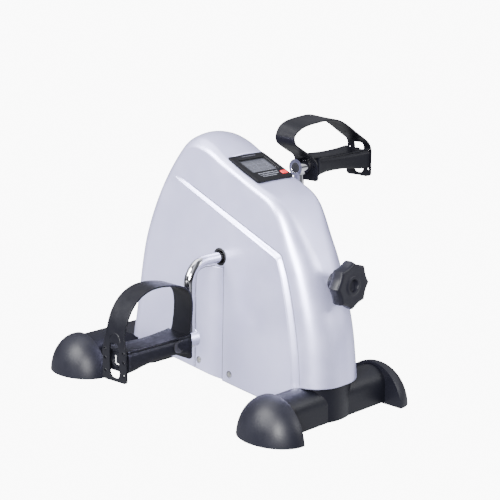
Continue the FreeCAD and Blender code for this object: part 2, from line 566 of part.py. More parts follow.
# Strap paths in the pedal's own frame (outward, up). The lower pedal's band stands
# up beside the arm. The upper pedal's band is slack and leans in over the crank eye.
low_path = [(202.0, -24.5), (202.0, -12.0), (202.0, 2.0), (201.9, 16.0), (200.2, 28.0), (196.0, 43.0), (189.5, 55.5), (178.5, 66.5), (163.0, 73.2), (147.5, 74.4),
            (129.5, 72.2), (113.5, 67.5), (103.5, 59.5), (100.2, 49.0), (100.6, 33.0), (103.2, 17.0), (104.8, 4.0), (104.9, -8.0), (104.9, -17.5)]
high_path = [(202.0, -24.5), (202.0, -12.0), (202.0, 0.0), (202.4, 8.0), (201.6, 15.0), (197.0, 21.5), (188.0, 27.5), (177.5, 34.0), (166.0, 41.5), (150.5, 50.0),
             (136.0, 54.8), (122.0, 56.4), (107.0, 55.6), (92.0, 54.2), (79.5, 51.4), (70.5, 46.2), (66.0, 38.8), (68.0, 31.8), (75.0, 26.6), (86.0, 20.0), (97.0, 13.3),
             (103.2, 5.5), (104.9, -4.0), (104.9, -11.0), (104.9, -17.5)]

for side, sx, up, path in (("left", -1, -1, low_path), ("right", 1, 1, high_path)):
    zc = CZ + up * D["crank_radius"]
    zx = "dims.crank_z + (%d) * dims.crank_radius" % up
    x_in, x_out = D["pedal_inner"], D["pedal_outer"]
    ln = x_out - x_in
    lo = x_in if sx > 0 else -x_out
    # moulded body: dished tread, waisted underside, bore along the spindle
    blank = Part.makeBox(ln, D["pedal_width"], D["pedal_top"] + D["pedal_bottom"], V(x_in, -D["pedal_width"] / 2, -D["pedal_bottom"]))
    blank = blank.makeFillet(4.0, [e for e in blank.Edges if e.BoundBox.XLength > 50])
    blank = blank.cut(Part.makeCylinder(48, 200, V(50, 0, D["pedal_top"] + 43.6), V(1, 0, 0)))
    waist = Part.makeCylinder(300, 80, V((x_in + x_out) / 2, -40, -D["pedal_bottom"] - 296.4), V(0, 1, 0))
    blank = blank.cut(waist)
    for sy in (-1, 1):
        side_waist = Part.makeCylinder(300, 80, V((x_in + x_out) / 2, sy * (D["pedal_width"] / 2 + 296.5), -40), V(0, 0, 1))
        blank = blank.cut(side_waist)
    blank = blank.cut(Part.makeCylinder(D["pedal_bore"] / 2, 120, V(95, 0, 0), V(1, 0, 0)))
    blank = blank.cut(Part.makeCylinder(9.0, 20, V(x_out - 12.6, 0, 0), V(1, 0, 0)))
    pegs = []
    for y in (-13.5, 13.5):
        pegs.append(Part.makeCylinder(1.8, 4.2, V(x_out - 0.1, y, 0), V(1, 0, 0)))
    for y in (-14.0, 14.0):
        pegs.append(Part.makeCylinder(1.8, 3.4, V(x_in - 3.3, y, -6), V(1, 0, 0)))
    for p in pegs:
        blank = blank.fuse(p)
    if sx < 0:
        blank = blank.mirror(V(0, 0, 0), V(1, 0, 0))
    blank.translate(V(0, CY, zc))
    keep(feature(side + "_body", blank), side + "_pedal_body")
    keep(feature(side + "_band", strap_shape(sx, zc, path, D["strap_thick"], 9.0)), side + "_pedal_strap")

    # nylon bushes inside the body
    bushes = []
    for i, x in enumerate((x_in + 0.5, x_out - 26.0)):
        xx = x if sx > 0 else -x - 12
        b = cyl("%s_bush%d" % (side, i), "dims.pedal_bore / 2", 12, xx, cy(0), zx, "X")
        h_ = cyl("%s_bush_hole%d" % (side, i), "dims.spindle_dia / 2 + 0.06", 16, xx - 2, cy(0), zx, "X")
        bushes.append(cut("%s_bush_cut%d" % (side, i), b, [h_]))
    g = doc.addObject("Part::Compound", side + "_bush_group")
    g.Links = bushes
    keep(g, side + "_pedal_bushes")

    # spindle: a threaded root in the crank eye, a shoulder and a plain shaft
    xa, w = D["arm_x"], D["eye_width"]
    root_x = xa - w / 2 + 1.2
    segs = [("root", "dims.spindle_dia / 2 + 1.5", w - 1.2 + 0.2, root_x), ("shoulder", 8.0, 5.6, xa + w / 2 + 0.2),
            ("shaft", "dims.spindle_dia / 2", x_out - 7.5 - (xa + w / 2 + 5), xa + w / 2 + 5)]
    shapes = []
    for n_, r_, l_, x_ in segs:
        xx = x_ if sx > 0 else -x_ - l_
        shapes.append(cyl("%s_%s" % (side, n_), r_, l_, xx, cy(0), zx, "X"))
    spindle = fuse(side + "_spindle_fuse", shapes)
    sock_x = root_x - 1 if sx > 0 else -root_x - 4
    socket = doc.addObject("Part::Prism", side + "_socket")
    socket.Polygon = 6
    bind(socket, Circumradius="3.4", Height="5")
    place(socket, sock_x, cy(0), zx, (0, 1, 0), 90)
    keep(cut(side + "_spindle_cut", spindle, [socket]), side + "_pedal_spindle")

    # locknut and dust cap at the outer end
    nx = x_out - 12.2
    nut = doc.addObject("Part::Prism", side + "_nut_hex")
    nut.Polygon = 6
    bind(nut, Circumradius="7.6", Height="4.6")
    place(nut, nx if sx > 0 else -nx - 4.6, cy(0), zx, (0, 1, 0), 90)
    nh = cyl(side + "_nut_hole", "dims.spindle_dia / 2", 12, nx - 3 if sx > 0 else -nx - 9, cy(0), zx, "X")
    keep(cut(side + "_nut_cut", nut, [nh]), side + "_pedal_nut")
    capx = x_out - 3.0
    keep(cyl(side + "_dust_disc", 8.9, 2.8, capx if sx > 0 else -capx - 2.8, cy(0), zx, "X"), side + "_dust_cap")

doc.recompute()

# ------------------------------------------------------------------ checks and files
bad = []
for obj in doc.Objects:
    if "Invalid" in obj.State or "Error" in obj.State:
        bad.append("%s: %s" % (obj.Label, obj.State))
for obj in nodes:
    shape = obj.Shape
    if shape.isNull() or not shape.isValid() or not shape.Solids:
        bad.append("%s: shape" % obj.Label)
if bad:
    raise RuntimeError("; ".join(bad))
os.makedirs("parts", exist_ok=True)
for obj in nodes:
    obj.Shape.exportStep(os.path.join("parts", obj.Label + ".step"))
for obj in nodes:
    b = obj.Shape.BoundBox
    print("%-24s solids %d  x %.1f..%.1f  y %.1f..%.1f  z %.1f..%.1f  vol %.0f" % (
        obj.Label, len(obj.Shape.Solids), b.XMin, b.XMax, b.YMin, b.YMax, b.ZMin, b.ZMax, obj.Shape.Volume))
print(len(nodes), "nodes")
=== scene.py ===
import bpy, bmesh, math
import numpy as np
from mathutils import Vector, Matrix
from mathutils.geometry import delaunay_2d_cdt


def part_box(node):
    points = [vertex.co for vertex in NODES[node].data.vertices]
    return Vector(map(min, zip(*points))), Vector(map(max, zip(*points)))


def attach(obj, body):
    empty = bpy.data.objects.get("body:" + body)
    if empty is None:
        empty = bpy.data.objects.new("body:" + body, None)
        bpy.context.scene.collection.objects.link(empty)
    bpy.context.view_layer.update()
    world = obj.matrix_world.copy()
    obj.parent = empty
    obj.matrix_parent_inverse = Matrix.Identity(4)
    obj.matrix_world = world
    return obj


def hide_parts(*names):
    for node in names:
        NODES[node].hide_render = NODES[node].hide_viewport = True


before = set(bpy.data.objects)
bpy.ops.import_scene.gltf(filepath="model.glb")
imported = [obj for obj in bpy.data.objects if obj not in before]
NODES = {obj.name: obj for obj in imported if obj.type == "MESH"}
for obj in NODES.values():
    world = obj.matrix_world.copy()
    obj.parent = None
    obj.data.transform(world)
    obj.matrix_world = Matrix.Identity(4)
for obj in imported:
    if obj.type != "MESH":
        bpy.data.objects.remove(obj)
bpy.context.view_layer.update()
CY, CZ, RAD = -39.7, 173.5, 87.7
S = 0.001


def sstep(t):
    t = np.clip(t, 0.0, 1.0)
    return t * t * (3 - 2 * t)


# ---------------------------------------------------------------- materials
def tree(name, base, rough, metallic=0.0, specular=0.5, coat=0.0, coat_rough=0.1):
    m = bpy.data.materials.new(name)
    m.use_nodes = True
    nt = m.node_tree
    b = nt.nodes["Principled BSDF"]
    b.inputs["Base Color"].default_value = (*base, 1)
    b.inputs["Roughness"].default_value = rough
    b.inputs["Metallic"].default_value = metallic
    b.inputs["Specular IOR Level"].default_value = specular
    b.inputs["Coat Weight"].default_value = coat
    b.inputs["Coat Roughness"].default_value = coat_rough
    return m, nt, b


def node(nt, kind, **sockets):
    n = nt.nodes.new(kind)
    for k, v in sockets.items():
        n.inputs[k.replace("_", " ")].default_value = v
    return n


def grain(nt, b, base, spread, rough, rough_spread, fine, fine_depth, coarse=None, coarse_depth=0.0, detail=3.0):
    """Colour mottling, uneven gloss and a two-scale bump from 3-D noise in object space."""
    tc = nt.nodes.new("ShaderNodeTexCoord")
    n1 = node(nt, "ShaderNodeTexNoise", Scale=fine, Detail=detail, Roughness=0.6)
    n2 = node(nt, "ShaderNodeTexNoise", Scale=coarse or fine / 14.0, Detail=4.0, Roughness=0.55)
    for n in (n1, n2):
        nt.links.new(tc.outputs["Object"], n.inputs["Vector"])
    ramp = nt.nodes.new("ShaderNodeValToRGB")
    ramp.color_ramp.elements[0].position = 0.3
    ramp.color_ramp.elements[1].position = 0.7
    ramp.color_ramp.elements[0].color = (*[max(0.0, c * (1 - spread)) for c in base], 1)
    ramp.color_ramp.elements[1].color = (*[min(1.0, c * (1 + spread)) for c in base], 1)
    mix = nt.nodes.new("ShaderNodeMath")
    mix.operation = "MULTIPLY_ADD"
    mix.inputs[1].default_value = 0.5
    mix.use_clamp = True
    nt.links.new(n1.outputs["Fac"], mix.inputs[0])
    half = nt.nodes.new("ShaderNodeMath")
    half.operation = "MULTIPLY"
    half.inputs[1].default_value = 0.5
    nt.links.new(n2.outputs["Fac"], half.inputs[0])
    nt.links.new(half.outputs[0], mix.inputs[2])
    nt.links.new(mix.outputs[0], ramp.inputs["Fac"])
    nt.links.new(ramp.outputs["Color"], b.inputs["Base Color"])
    rr = node(nt, "ShaderNodeMapRange")
    rr.inputs["From Min"].default_value = 0.3
    rr.inputs["From Max"].default_value = 0.7
    rr.inputs["To Min"].default_value = max(0.02, rough - rough_spread)
    rr.inputs["To Max"].default_value = min(1.0, rough + rough_spread)
    nt.links.new(n2.outputs["Fac"], rr.inputs["Value"])
    nt.links.new(rr.outputs["Result"], b.inputs["Roughness"])
    bump1 = node(nt, "ShaderNodeBump", Strength=1.0, Distance=fine_depth)
    nt.links.new(n1.outputs["Fac"], bump1.inputs["Height"])
    last = bump1
    if coarse_depth:
        bump2 = node(nt, "ShaderNodeBump", Strength=1.0, Distance=coarse_depth)
        nt.links.new(n2.outputs["Fac"], bump2.inputs["Height"])
        nt.links.new(bump1.outputs["Normal"], bump2.inputs["Normal"])
        last = bump2
    nt.links.new(last.outputs["Normal"], b.inputs["Normal"])
    return tc, n1, n2


def plastic(name, base, rough, spread=0.1, rough_spread=0.06, fine=1800.0, fine_depth=0.00004, coarse=60.0, coarse_depth=0.0, **kw):
    m, nt, b = tree(name, base, rough, **kw)
    grain(nt, b, base, spread, rough, rough_spread, fine, fine_depth, coarse, coarse_depth)
    return m


M = {}
M["silver"] = plastic("silver_paint", (0.655, 0.655, 1.0), 0.36, spread=0.07, rough_spread=0.05, fine=1500.0, fine_depth=0.000022, coarse=35.0,
                      metallic=0.62, specular=0.5, coat=0.4, coat_rough=0.16)
M["pedal"] = plastic("pedal_plastic", (0.0050, 0.0052, 0.0085), 0.44, specular=0.17, spread=0.14, fine=1500.0, fine_depth=0.00004, coarse=70.0, coarse_depth=0.00005)
M["strap"] = plastic("strap_vinyl", (0.0042, 0.0043, 0.0070), 0.36, specular=0.25, spread=0.12, fine=2200.0, fine_depth=0.00003, coarse=90.0, coarse_depth=0.0001)
M["foot"] = plastic("foot_plastic", (0.0062, 0.0064, 0.0105), 0.40, specular=0.24, spread=0.12, fine=1600.0, fine_depth=0.00005, coarse=40.0, coarse_depth=0.00006)
M["cap"] = plastic("cap_plastic", (0.0085, 0.0087, 0.0140), 0.42, specular=0.28, spread=0.12, fine=1600.0, fine_depth=0.00006, coarse=45.0, coarse_depth=0.00005)
M["knob"] = plastic("knob_plastic", (0.0085, 0.0086, 0.0140), 0.42, specular=0.26, spread=0.14, fine=1700.0, fine_depth=0.00004, coarse=80.0, coarse_depth=0.00004)
M["grommet"] = plastic("black_rubber_and_painted_shadow", (0.008, 0.008, 0.010), 0.55, spread=0.15, fine=1500.0, fine_depth=0.00003)
M["console"] = plastic("console_plastic", (0.0042, 0.0043, 0.0062), 0.42, specular=0.17, spread=0.12, fine=2400.0, fine_depth=0.00003, coarse=120.0)
M["print"] = plastic("print_ink", (0.20, 0.205, 0.25), 0.6, spread=0.12, fine=3000.0, fine_depth=0.00001)
M["button"] = plastic("button_red", (0.78, 0.022, 0.030), 0.38, spread=0.08, fine=2000.0, fine_depth=0.00002)
M["lcd"] = plastic("lcd_glass", (0.062, 0.065, 0.092), 0.22, spread=0.06, fine=900.0, fine_depth=0.000005, coarse=60.0)
M["lcd_ink"] = plastic("lcd_segments", (0.018, 0.019, 0.027), 0.35, spread=0.1, fine=2500.0, fine_depth=0.000005)
M["mark"] = plastic("white_mark", (0.80, 0.80, 0.82), 0.5, spread=0.05, fine=2500.0, fine_depth=0.00001)
M["gap"] = plastic("parting_gap", (0.060, 0.062, 0.080), 0.8, spread=0.2, fine=1800.0, fine_depth=0.00003)
# dark grey for seams and print marks, also used as painted shade in the ridge crease and round the screw heads
M["dark_line_and_shade"] = plastic("seam_line_and_painted_shade", (0.085, 0.085, 0.115), 0.6, spread=0.1, fine=1800.0, fine_depth=0.00002)
M["zinc"] = plastic("zinc_plate", (0.62, 0.62, 0.62), 0.30, spread=0.06, fine=1300.0, fine_depth=0.00002, metallic=1.0)
M["frame"] = plastic("black_powder", (0.02, 0.02, 0.022), 0.55, spread=0.15, fine=1400.0, fine_depth=0.00008)
M["nylon"] = plastic("nylon", (0.78, 0.77, 0.72), 0.5, spread=0.05, fine=1200.0, fine_depth=0.00003)
M["felt"] = plastic("felt", (0.28, 0.27, 0.25), 0.95, spread=0.3, fine=2600.0, fine_depth=0.0004)
M["board"] = plastic("solder_mask", (0.03, 0.16, 0.07), 0.4, spread=0.2, fine=800.0, fine_depth=0.00003)
# polished chrome: bright metal with faint smudges and polishing waves
mch, ntc, bch = tree("chrome", (0.60, 0.60, 0.63), 0.06, metallic=1.0)
grain(ntc, bch, (0.60, 0.60, 0.63), 0.05, 0.07, 0.035, 700.0, 0.000004, 55.0, 0.00003)
M["chrome"] = mch
mg, ntg, bg = tree("window_clear", (0.30, 0.31, 0.36), 0.06)
grain(ntg, bg, (0.30, 0.31, 0.36), 0.04, 0.07, 0.03, 400.0, 0.000002, 60.0)
bg.inputs["Alpha"].default_value = 0.10
M["window"] = mg


def paint(obj, m):
    obj.data.materials.clear()
    obj.data.materials.append(M[m])


CAD_LOOK = {
    "foot": ["front_foot_beam", "rear_foot_beam"],
    "cap": ["front_left_foot_cap", "front_right_foot_cap", "rear_left_foot_cap", "rear_right_foot_cap"],
    "frame": ["front_cross_tube", "rear_cross_tube", "rear_tongue", "base_spine", "bearing_bracket", "tension_post", "left_hood_bracket", "right_hood_bracket"],
    "zinc": ["frame_bolts", "rear_tongue_bolts", "bracket_bolts", "drum_pin", "shaft_rings", "tension_screw", "screw_thrust_washer", "screw_collar",
             "left_pedal_nut", "right_pedal_nut", "left_pedal_spindle", "right_pedal_spindle", "hood_screws", "speed_magnet", "button_cells"],
    "silver": ["cover_hood", "left_slot_cover", "right_slot_cover"],
    "grommet": ["left_crank_grommet", "right_crank_grommet"],
    "nylon": ["left_shaft_bush", "right_shaft_bush", "brake_drum", "brake_block", "left_pedal_bushes", "right_pedal_bushes"],
    "chrome": ["crank_shaft"], "felt": ["brake_felt_pad"], "board": ["circuit_board"],
    "console": ["console_bezel", "console_tray", "battery_door", "reed_switch"],
    "window": ["console_window"], "lcd": ["lcd_panel"], "button": ["reset_button"],
    "pedal": ["left_pedal_body", "right_pedal_body", "left_dust_cap", "right_dust_cap"],
    "strap": ["left_pedal_strap", "right_pedal_strap"], "knob": ["tension_knob"]}
for look, names in CAD_LOOK.items():
    for n in names:
        paint(NODES[n], look)


# ---------------------------------------------------------------- mesh helpers
def mesh(name, verts, faces, look, body, sharp=35.0, replaces=None, slot=None, recalc=True):
    """verts in millimetres in the row frame."""
    me = bpy.data.meshes.new(name)
    me.from_pydata([tuple(float(c) * S for c in v) for v in verts], [], faces)
    if recalc:
        bm = bmesh.new()
        bm.from_mesh(me)
        bmesh.ops.recalc_face_normals(bm, faces=bm.faces)
        bm.to_mesh(me)
        bm.free()
    me.polygons.foreach_set("use_smooth", [True] * len(me.polygons))
    me.update()
    if sharp is not None:
        me.set_sharp_from_angle(angle=math.radians(sharp))
    o = bpy.data.objects.new(name, me)
    bpy.context.scene.collection.objects.link(o)
    me.materials.append(M[look])
    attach(o, body)
    if replaces:
        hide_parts(*replaces)
    return o


def dense(pts, step=1.0, smooth=0.0):
    """A smooth curve through pts, sampled evenly."""
    p = np.array(pts, float)
    q = np.vstack([2 * p[0] - p[1], p, 2 * p[-1] - p[-2]])
    out = []
    for i in range(1, len(q) - 2):
        p0, p1, p2, p3 = q[i - 1], q[i], q[i + 1], q[i + 2]
        t0 = 0.0
        t1 = t0 + np.linalg.norm(p1 - p0) ** 0.5
        t2 = t1 + np.linalg.norm(p2 - p1) ** 0.5
        t3 = t2 + np.linalg.norm(p3 - p2) ** 0.5
        for t in np.linspace(t1, t2, 24, endpoint=False):
            a1 = (t1 - t) / (t1 - t0) * p0 + (t - t0) / (t1 - t0) * p1
            a2 = (t2 - t) / (t2 - t1) * p1 + (t - t1) / (t2 - t1) * p2
            a3 = (t3 - t) / (t3 - t2) * p2 + (t - t2) / (t3 - t2) * p3
            b1 = (t2 - t) / (t2 - t0) * a1 + (t - t0) / (t2 - t0) * a2
            b2 = (t3 - t) / (t3 - t1) * a2 + (t - t1) / (t3 - t1) * a3
            out.append((t2 - t) / (t2 - t1) * b1 + (t - t1) / (t2 - t1) * b2)
    out.append(p[-1])
    c = np.array(out)
    s = np.concatenate([[0], np.cumsum(np.linalg.norm(np.diff(c, axis=0), axis=1))])
    n = max(3, int(round(s[-1] / step)) + 1)
    u = np.linspace(0, s[-1], n)
    c = np.column_stack([np.interp(u, s, c[:, k]) for k in range(c.shape[1])])
    if smooth:
        k = int(3 * smooth / step)
        w = np.exp(-0.5 * (np.arange(-k, k + 1) * step / smooth) ** 2)
        w /= w.sum()
        pad = np.vstack([2 * c[0] - c[k:0:-1], c, 2 * c[-1] - c[-2:-k - 2:-1]])
        c = np.column_stack([np.convolve(pad[:, j], w, mode="valid") for j in range(c.shape[1])])
    return c


def tangents(c):
    t = np.gradient(c, axis=0)
    return t / np.linalg.norm(t, axis=1)[:, None]


def grid_faces(nr, nc, base=0, flip=False, wrap=False):
    f = []
    cols = nc if wrap else nc - 1
    for i in range(nr - 1):
        for j in range(cols):
            j2 = (j + 1) % nc
            q = (base + i * nc + j, base + i * nc + j2, base + (i + 1) * nc + j2, base + (i + 1) * nc + j)
            f.append(q[::-1] if flip else q)
    return f


# ---------------------------------------------------------------- hood
OUT = [(170.5, 45.0, 28, 24), (164.0, 76.0, 27, 23), (156.5, 112.0, 25, 21), (150.5, 140.0, 22, 19), (141.0, 174.5, 19, 16), (124.0, 213.4, 15, 13),
       (102.5, 250.0, 11, 10), (80.0, 281.0, 12, 9), (66.0, 295.5, 14, 8.5), (52.0, 301.5, 14, 8), (36.0, 300.0, 12, 8), (20.0, 294.5, 10, 8), (6.0, 287.0, 9, 8),
       (-20.0, 275.0, 8, 8), (-49.0, 262.4, 9, 8.5), (-65.0, 256.2, 10, 9), (-78.0, 250.0, 12, 10), (-89.0, 240.5, 15, 12), (-98.0, 228.0, 19, 15),
       (-111.5, 204.0, 26, 19), (-123.0, 183.0, 30, 22), (-133.5, 155.0, 32, 24), (-143.0, 124.0, 33, 25.5), (-149.0, 98.0, 34.5, 27.5),
       (-152.5, 71.0, 35.5, 28.5), (-154.8, 45.2, 36, 29)]
cur = dense(OUT, 1.0, 4.0)
P = cur[:, :2]
RX, RD = cur[:, 2], cur[:, 3]
T = tangents(P)
N = np.column_stack([-T[:, 1], T[:, 0]])
low = sstep((P[:, 1] - 45.0) / 55.0)
N[:, 1] *= low
N /= np.linalg.norm(N, axis=1)[:, None]
PIN = P + N * RD[:, None]
PIN = np.column_stack([dense(PIN, 1.0)[:, k] for k in (0, 1)]) if False else PIN


def half(z):
    return 42.6 + (36.0 - 42.6) * (np.asarray(z, float) - 20.0) / 280.0


itop = int(np.argmax(PIN[:, 1]))
rear_z = np.maximum.accumulate(PIN[:itop + 1, 1])
front_z = np.maximum.accumulate(PIN[itop:, 1][::-1])
idx = np.arange(len(P), dtype=float)


def t_rear(z):
    return np.interp(z, rear_z + np.arange(len(rear_z)) * 1e-7, idx[:itop + 1])


def t_front(z):
    return np.interp(z, front_z + np.arange(len(front_z)) * 1e-7, idx[itop:][::-1])


def at(arr, t):
    return np.interp(t, idx, arr)


L1 = ((66.0, 255.0), (-93.5, 190.3))
L2 = dense([(-88.0, 205.0), (-93.5, 190.3), (-103.0, 166.5), (-112.8, 131.0), (-120.8, 89.0), (-125.3, 45.0), (-126.6, 20.0)], 1.0)
l1d = np.array(L1[1]) - np.array(L1[0])
l1d /= np.linalg.norm(l1d)
sin1 = abs(l1d[1])
slope1 = l1d[1] / l1d[0]


def ramp1(z):
    return np.interp(z, [190, 255], [5.2, 3.6])


def ramp2(z):
    return np.interp(z, [45, 130, 190], [8.5, 7.2, 5.8])


def ridge_y(z, f=0.0, extra=0.0):
    """Where a row at height z meets the ridge line, moved inwards by f of the ramp width plus extra mm."""
    d1 = f * ramp1(z) + extra
    y1 = L1[0][0] + (z - L1[0][1]) / slope1 + d1 / sin1
    d2 = f * ramp2(z) + extra
    y2 = np.interp(-z, -L2[:, 1], L2[:, 0]) + d2
    return y1 if y1 > y2 else y2


H_RIDGE = lambda z: float(np.interp(z, [45, 150, 190, 252, 258], [4.6, 4.2, 3.4, 1.5, 0.0]))


def side_height(y, z, y0, yin, yrear):
    """Height of the raised panel, the trough and the grooves above the plain side."""
    h = 0.0
    top = H_RIDGE(z)
    if y > y0:
        f = (y - y0) / max(yin - y0, 1e-6)
        if f < 1:
            h = top * float(sstep(f * 0.93 + 0.035)) - 0.35 * math.exp(-((f) / 0.10) ** 2) * min(1.0, top)
        else:
            g = (y - yin) / max(yrear - yin, 1e-6)
            h = top * (1.0 - float(sstep((g - 0.25) / 0.7)))
            h += 0.30 * math.exp(-((y - yin) * sin1 / 2.0) ** 2) * min(1.0, top)
    if -6.5 <= y < 19 and z < 168:
        h -= 3.5 * ((19 - y) / 25.5) ** 1.9 * float(sstep((168 - z) / 14.0))
    return h


zt = float(PIN[itop, 1]) - 1.2
K = 150
ZR = np.linspace(45.1, zt, K + 1)
FR = [0.0, 0.06, 0.14, 0.25, 0.38, 0.5, 0.62, 0.75, 0.86, 0.94, 1.0]


def row_columns(z):
    yr, yf = at(PIN[:, 0], t_rear(z)), at(PIN[:, 0], t_front(z))
    zc = min(z, 256.0)
    y0, yin = ridge_y(zc), ridge_y(zc, 1.0)
    yx = ridge_y(zc, 1.0, 2.2)
    band = [ridge_y(zc, f) for f in FR] + [ridge_y(zc, 1.0, 0.7), ridge_y(zc, 1.0, 1.4), yx]
    if z > 256.0:
        # above the end of the ridge the columns keep their share of the row
        yr0, yf0 = at(PIN[:, 0], t_rear(256.0)), at(PIN[:, 0], t_front(256.0))
        conv = lambda y: yf + (yr - yf) * (y - yf0) / (yr0 - yf0)
        band = [conv(b) for b in band]
        y0, yin, yx = conv(y0), conv(yin), conv(yx)
    a = float(sstep((z - 168.0) / 22.0))
    ys = (1 - a) * -6.5 + a * (yx + 0.32 * (yr - yx))
    sp = min(1.0, (yr - yx) / 8.0)
    seam = [ys - 0.35 * sp, ys - 0.05 * sp, ys + 0.05 * sp, ys + 0.4 * sp]
    cols = list(yf + (y0 - yf) * (np.linspace(0, 1, 12) ** 0.7))[:-1]
    cols += band
    cols += list(np.linspace(yx, seam[0], 56))[1:-1]
    cols += seam
    cols += list(np.linspace(seam[-1], yr, 92))[1:]
    return sorted(cols), y0, yin, yr


rows = []
for z in ZR:
    cols, y0, yin, yr = row_columns(z)
    rows.append((z, cols, y0, yin, yr))
J = len(rows[0][1])
# the last row follows the inner loop itself
loop_y = PIN[:, 0]
order = np.argsort(loop_y[(idx > t_rear(zt)) & (idx < t_front(zt))])
sel = (idx > t_rear(zt)) & (idx < t_front(zt))
ly = np.concatenate([[at(PIN[:, 0], t_front(zt))], loop_y[sel][order], [at(PIN[:, 0], t_rear(zt))]])
lt = np.concatenate([[t_front(zt)], idx[sel][order], [t_rear(zt)]])
top_t = list(np.minimum.accumulate([float(np.interp(y, np.maximum.accumulate(ly), lt)) for y in rows[-1][1]]))


def nearest(y, z):
    return float(np.argmin(np.hypot(P[:, 0] - y, P[:, 1] - z)))


CROWN_T = [nearest(170.5, 45), nearest(141, 174.5), nearest(102.5, 250), nearest(80, 281), nearest(66, 295.5), nearest(36, 300), nearest(6, 287), nearest(-20, 275), nearest(-49, 262.4),
           nearest(-78, 250), nearest(-111.5, 204), nearest(-149, 98), nearest(-154.8, 45.2)]
CROWN_H = [1.0, 2.0, 3.9, 6.4, 8.1, 7.6, 4.8, 2.2, 1.2, 1.6, 1.0, 0.5, 0.3]


def hood_mesh():
    verts, faces = [], []
    side_index = {}
    for sx in (-1, 1):
        base = len(verts)
        for k, (z, cols, y0, yin, yr) in enumerate(rows):
            for j, y in enumerate(cols):
                zz = z if k < K else at(PIN[:, 1], top_t[j])
                h = side_height(y, z, y0, yin, yr)
                verts.append((sx * (float(half(zz)) + h), y + CY, zz))
        faces += grid_faces(K + 1, J, base, flip=(sx < 0))
        side_index[sx] = base
        # lower patch down to the sloping bottom edge
        cols = rows[0][1]
        keepc = [j for j, y in enumerate(cols) if y < 146.5]
        prev = [base + j for j in keepc]
        steps = 14
        for s in range(1, steps + 1):
            new = []
            for j in keepc:
                y = cols[j]
                zb = 17.0 + (y + 103.5) / 249.5 * 24.0
                if y < -104.9:
                    zb = 22.8 + math.sqrt(max(0.0, 441.0 - (y + 125.7) ** 2))
                zz = 45.1 + (zb - 45.1) * s / steps
                h = side_height(y, 45.1, rows[0][2], rows[0][3], rows[0][4])
                new.append(len(verts))
                verts.append((sx * (float(half(zz)) + h), y + CY, zz))
            for a in range(len(keepc) - 1):
                q = (prev[a], prev[a + 1], new[a + 1], new[a])
                faces.append(q if sx < 0 else q[::-1])
            prev = new
    # ring over the edge from the left inner loop to the right one
    ring_cols = [(t_front(z), k * J) for k, z in enumerate(ZR)]
    ring_cols += [(top_t[j], K * J + j) for j in range(1, J - 1)]
    ring_cols += [(t_rear(z), k * J + J - 1) for k, z in reversed(list(enumerate(ZR)))]
    NA, NB = 13, 10
    strips = []
    for t, off in ring_cols:
        py, pz = at(P[:, 0], t), at(P[:, 1], t)
        ny, nz = at(N[:, 0], t), at(N[:, 1], t)
        rx, rd = at(RX, t), at(RD, t)
        col = [side_index[-1] + off]
        pts = []
        for a in range(1, NA + 1):
            th = math.pi / 2 * a / NA
            d = rd * (1 - math.sin(th))
            pts.append((d, math.cos(th)))
        left = []
        for d, c in pts:
            y, z = py + ny * d, max(45.1, pz + nz * d)
            w = float(half(z))
            left.append((w, rx, c, y, z))
        line = [(-((w - rx) + rx * c), y, z) for w, rx, c, y, z in left]
        w = float(half(pz))
        x0 = w - rx
        for b in range(1, NB):
            x = -x0 + 2 * x0 * b / NB
            line.append((x, py, max(45.1, pz)))
        line += [(-x, y, z) for x, y, z in line[:NA]][::-1]
        # a little crown across the middle
        cr = float(np.interp(t, CROWN_T, CROWN_H))
        for x, y, z in line:
            e = min(1.0, abs(x) / max(w, 1e-6))
            k = cr * (1 - e * e) ** 1.2
            col.append(len(verts))
            verts.append((x, y - ny * k + CY, max(45.1, z - nz * k)))
        col.append(side_index[1] + off)
        strips.append(col)
    for a, b in zip(strips[:-1], strips[1:]):
        for i in range(len(a) - 1):
            q = (a[i], a[i + 1], b[i + 1], b[i])
            faces.append(q)
    return verts, faces


def side_x(y, z):
    """Outer surface of the hood side at a point, for pieces laid on it."""
    zc = min(max(z, 45.1), zt)
    cols, y0, yin, yr = row_columns(zc)
    return float(half(z)) + side_height(y, zc, y0, yin, yr)


hv, hf = hood_mesh()
con_c = np.array([0.0, CY - 23.9, 275.8])
tilt = math.radians(23.57)
con_y = np.array([0.0, math.cos(tilt), math.sin(tilt)])
con_n = np.array([0.0, -math.sin(tilt), math.cos(tilt)])
HV = np.array(hv)
keep_faces, slot_left, slot_right = [], [], []
for f in hf:
    c = HV[list(f)].mean(axis=0)
    y, z = c[1] - CY, c[2]
    d = c - con_c
    if abs(c[0]) < 27.5 and abs(d @ con_y) < 25.5 and abs(d @ con_n) < 12:
        continue
    if abs(c[0]) > 30 and math.hypot(y, z - CZ) < 9.2:
        continue
    in_slot = abs(c[0]) > 30 and -6.5 < y < 41.0 and z < 160 - max(0.0, (y - 24) * 0.58) - max(0.0, (y - 36) * 1.6)
    (slot_left if in_slot and c[0] < 0 else slot_right if in_slot else keep_faces).append(f)


def sub(faces):
    used = sorted({i for f in faces for i in f})
    m = {i: n for n, i in enumerate(used)}
    return [hv[i] for i in used], [tuple(m[i] for i in f) for f in faces]


def shell(o, t):
    md = o.modifiers.new("wall", "SOLIDIFY")
    md.thickness = t * S
    md.offset = -1.0
    md.use_even_offset = False


for nm, fs, rep in (("hood_shell", keep_faces, "cover_hood"), ("left_slot_cover_skin", slot_left, "left_slot_cover"), ("right_slot_cover_skin", slot_right, "right_slot_cover")):
    v, f = sub(fs)
    o = mesh(nm, v, f, "silver", "base", sharp=None, replaces=[rep], slot="silver_cover", recalc=False)
    shell(o, 2.2)


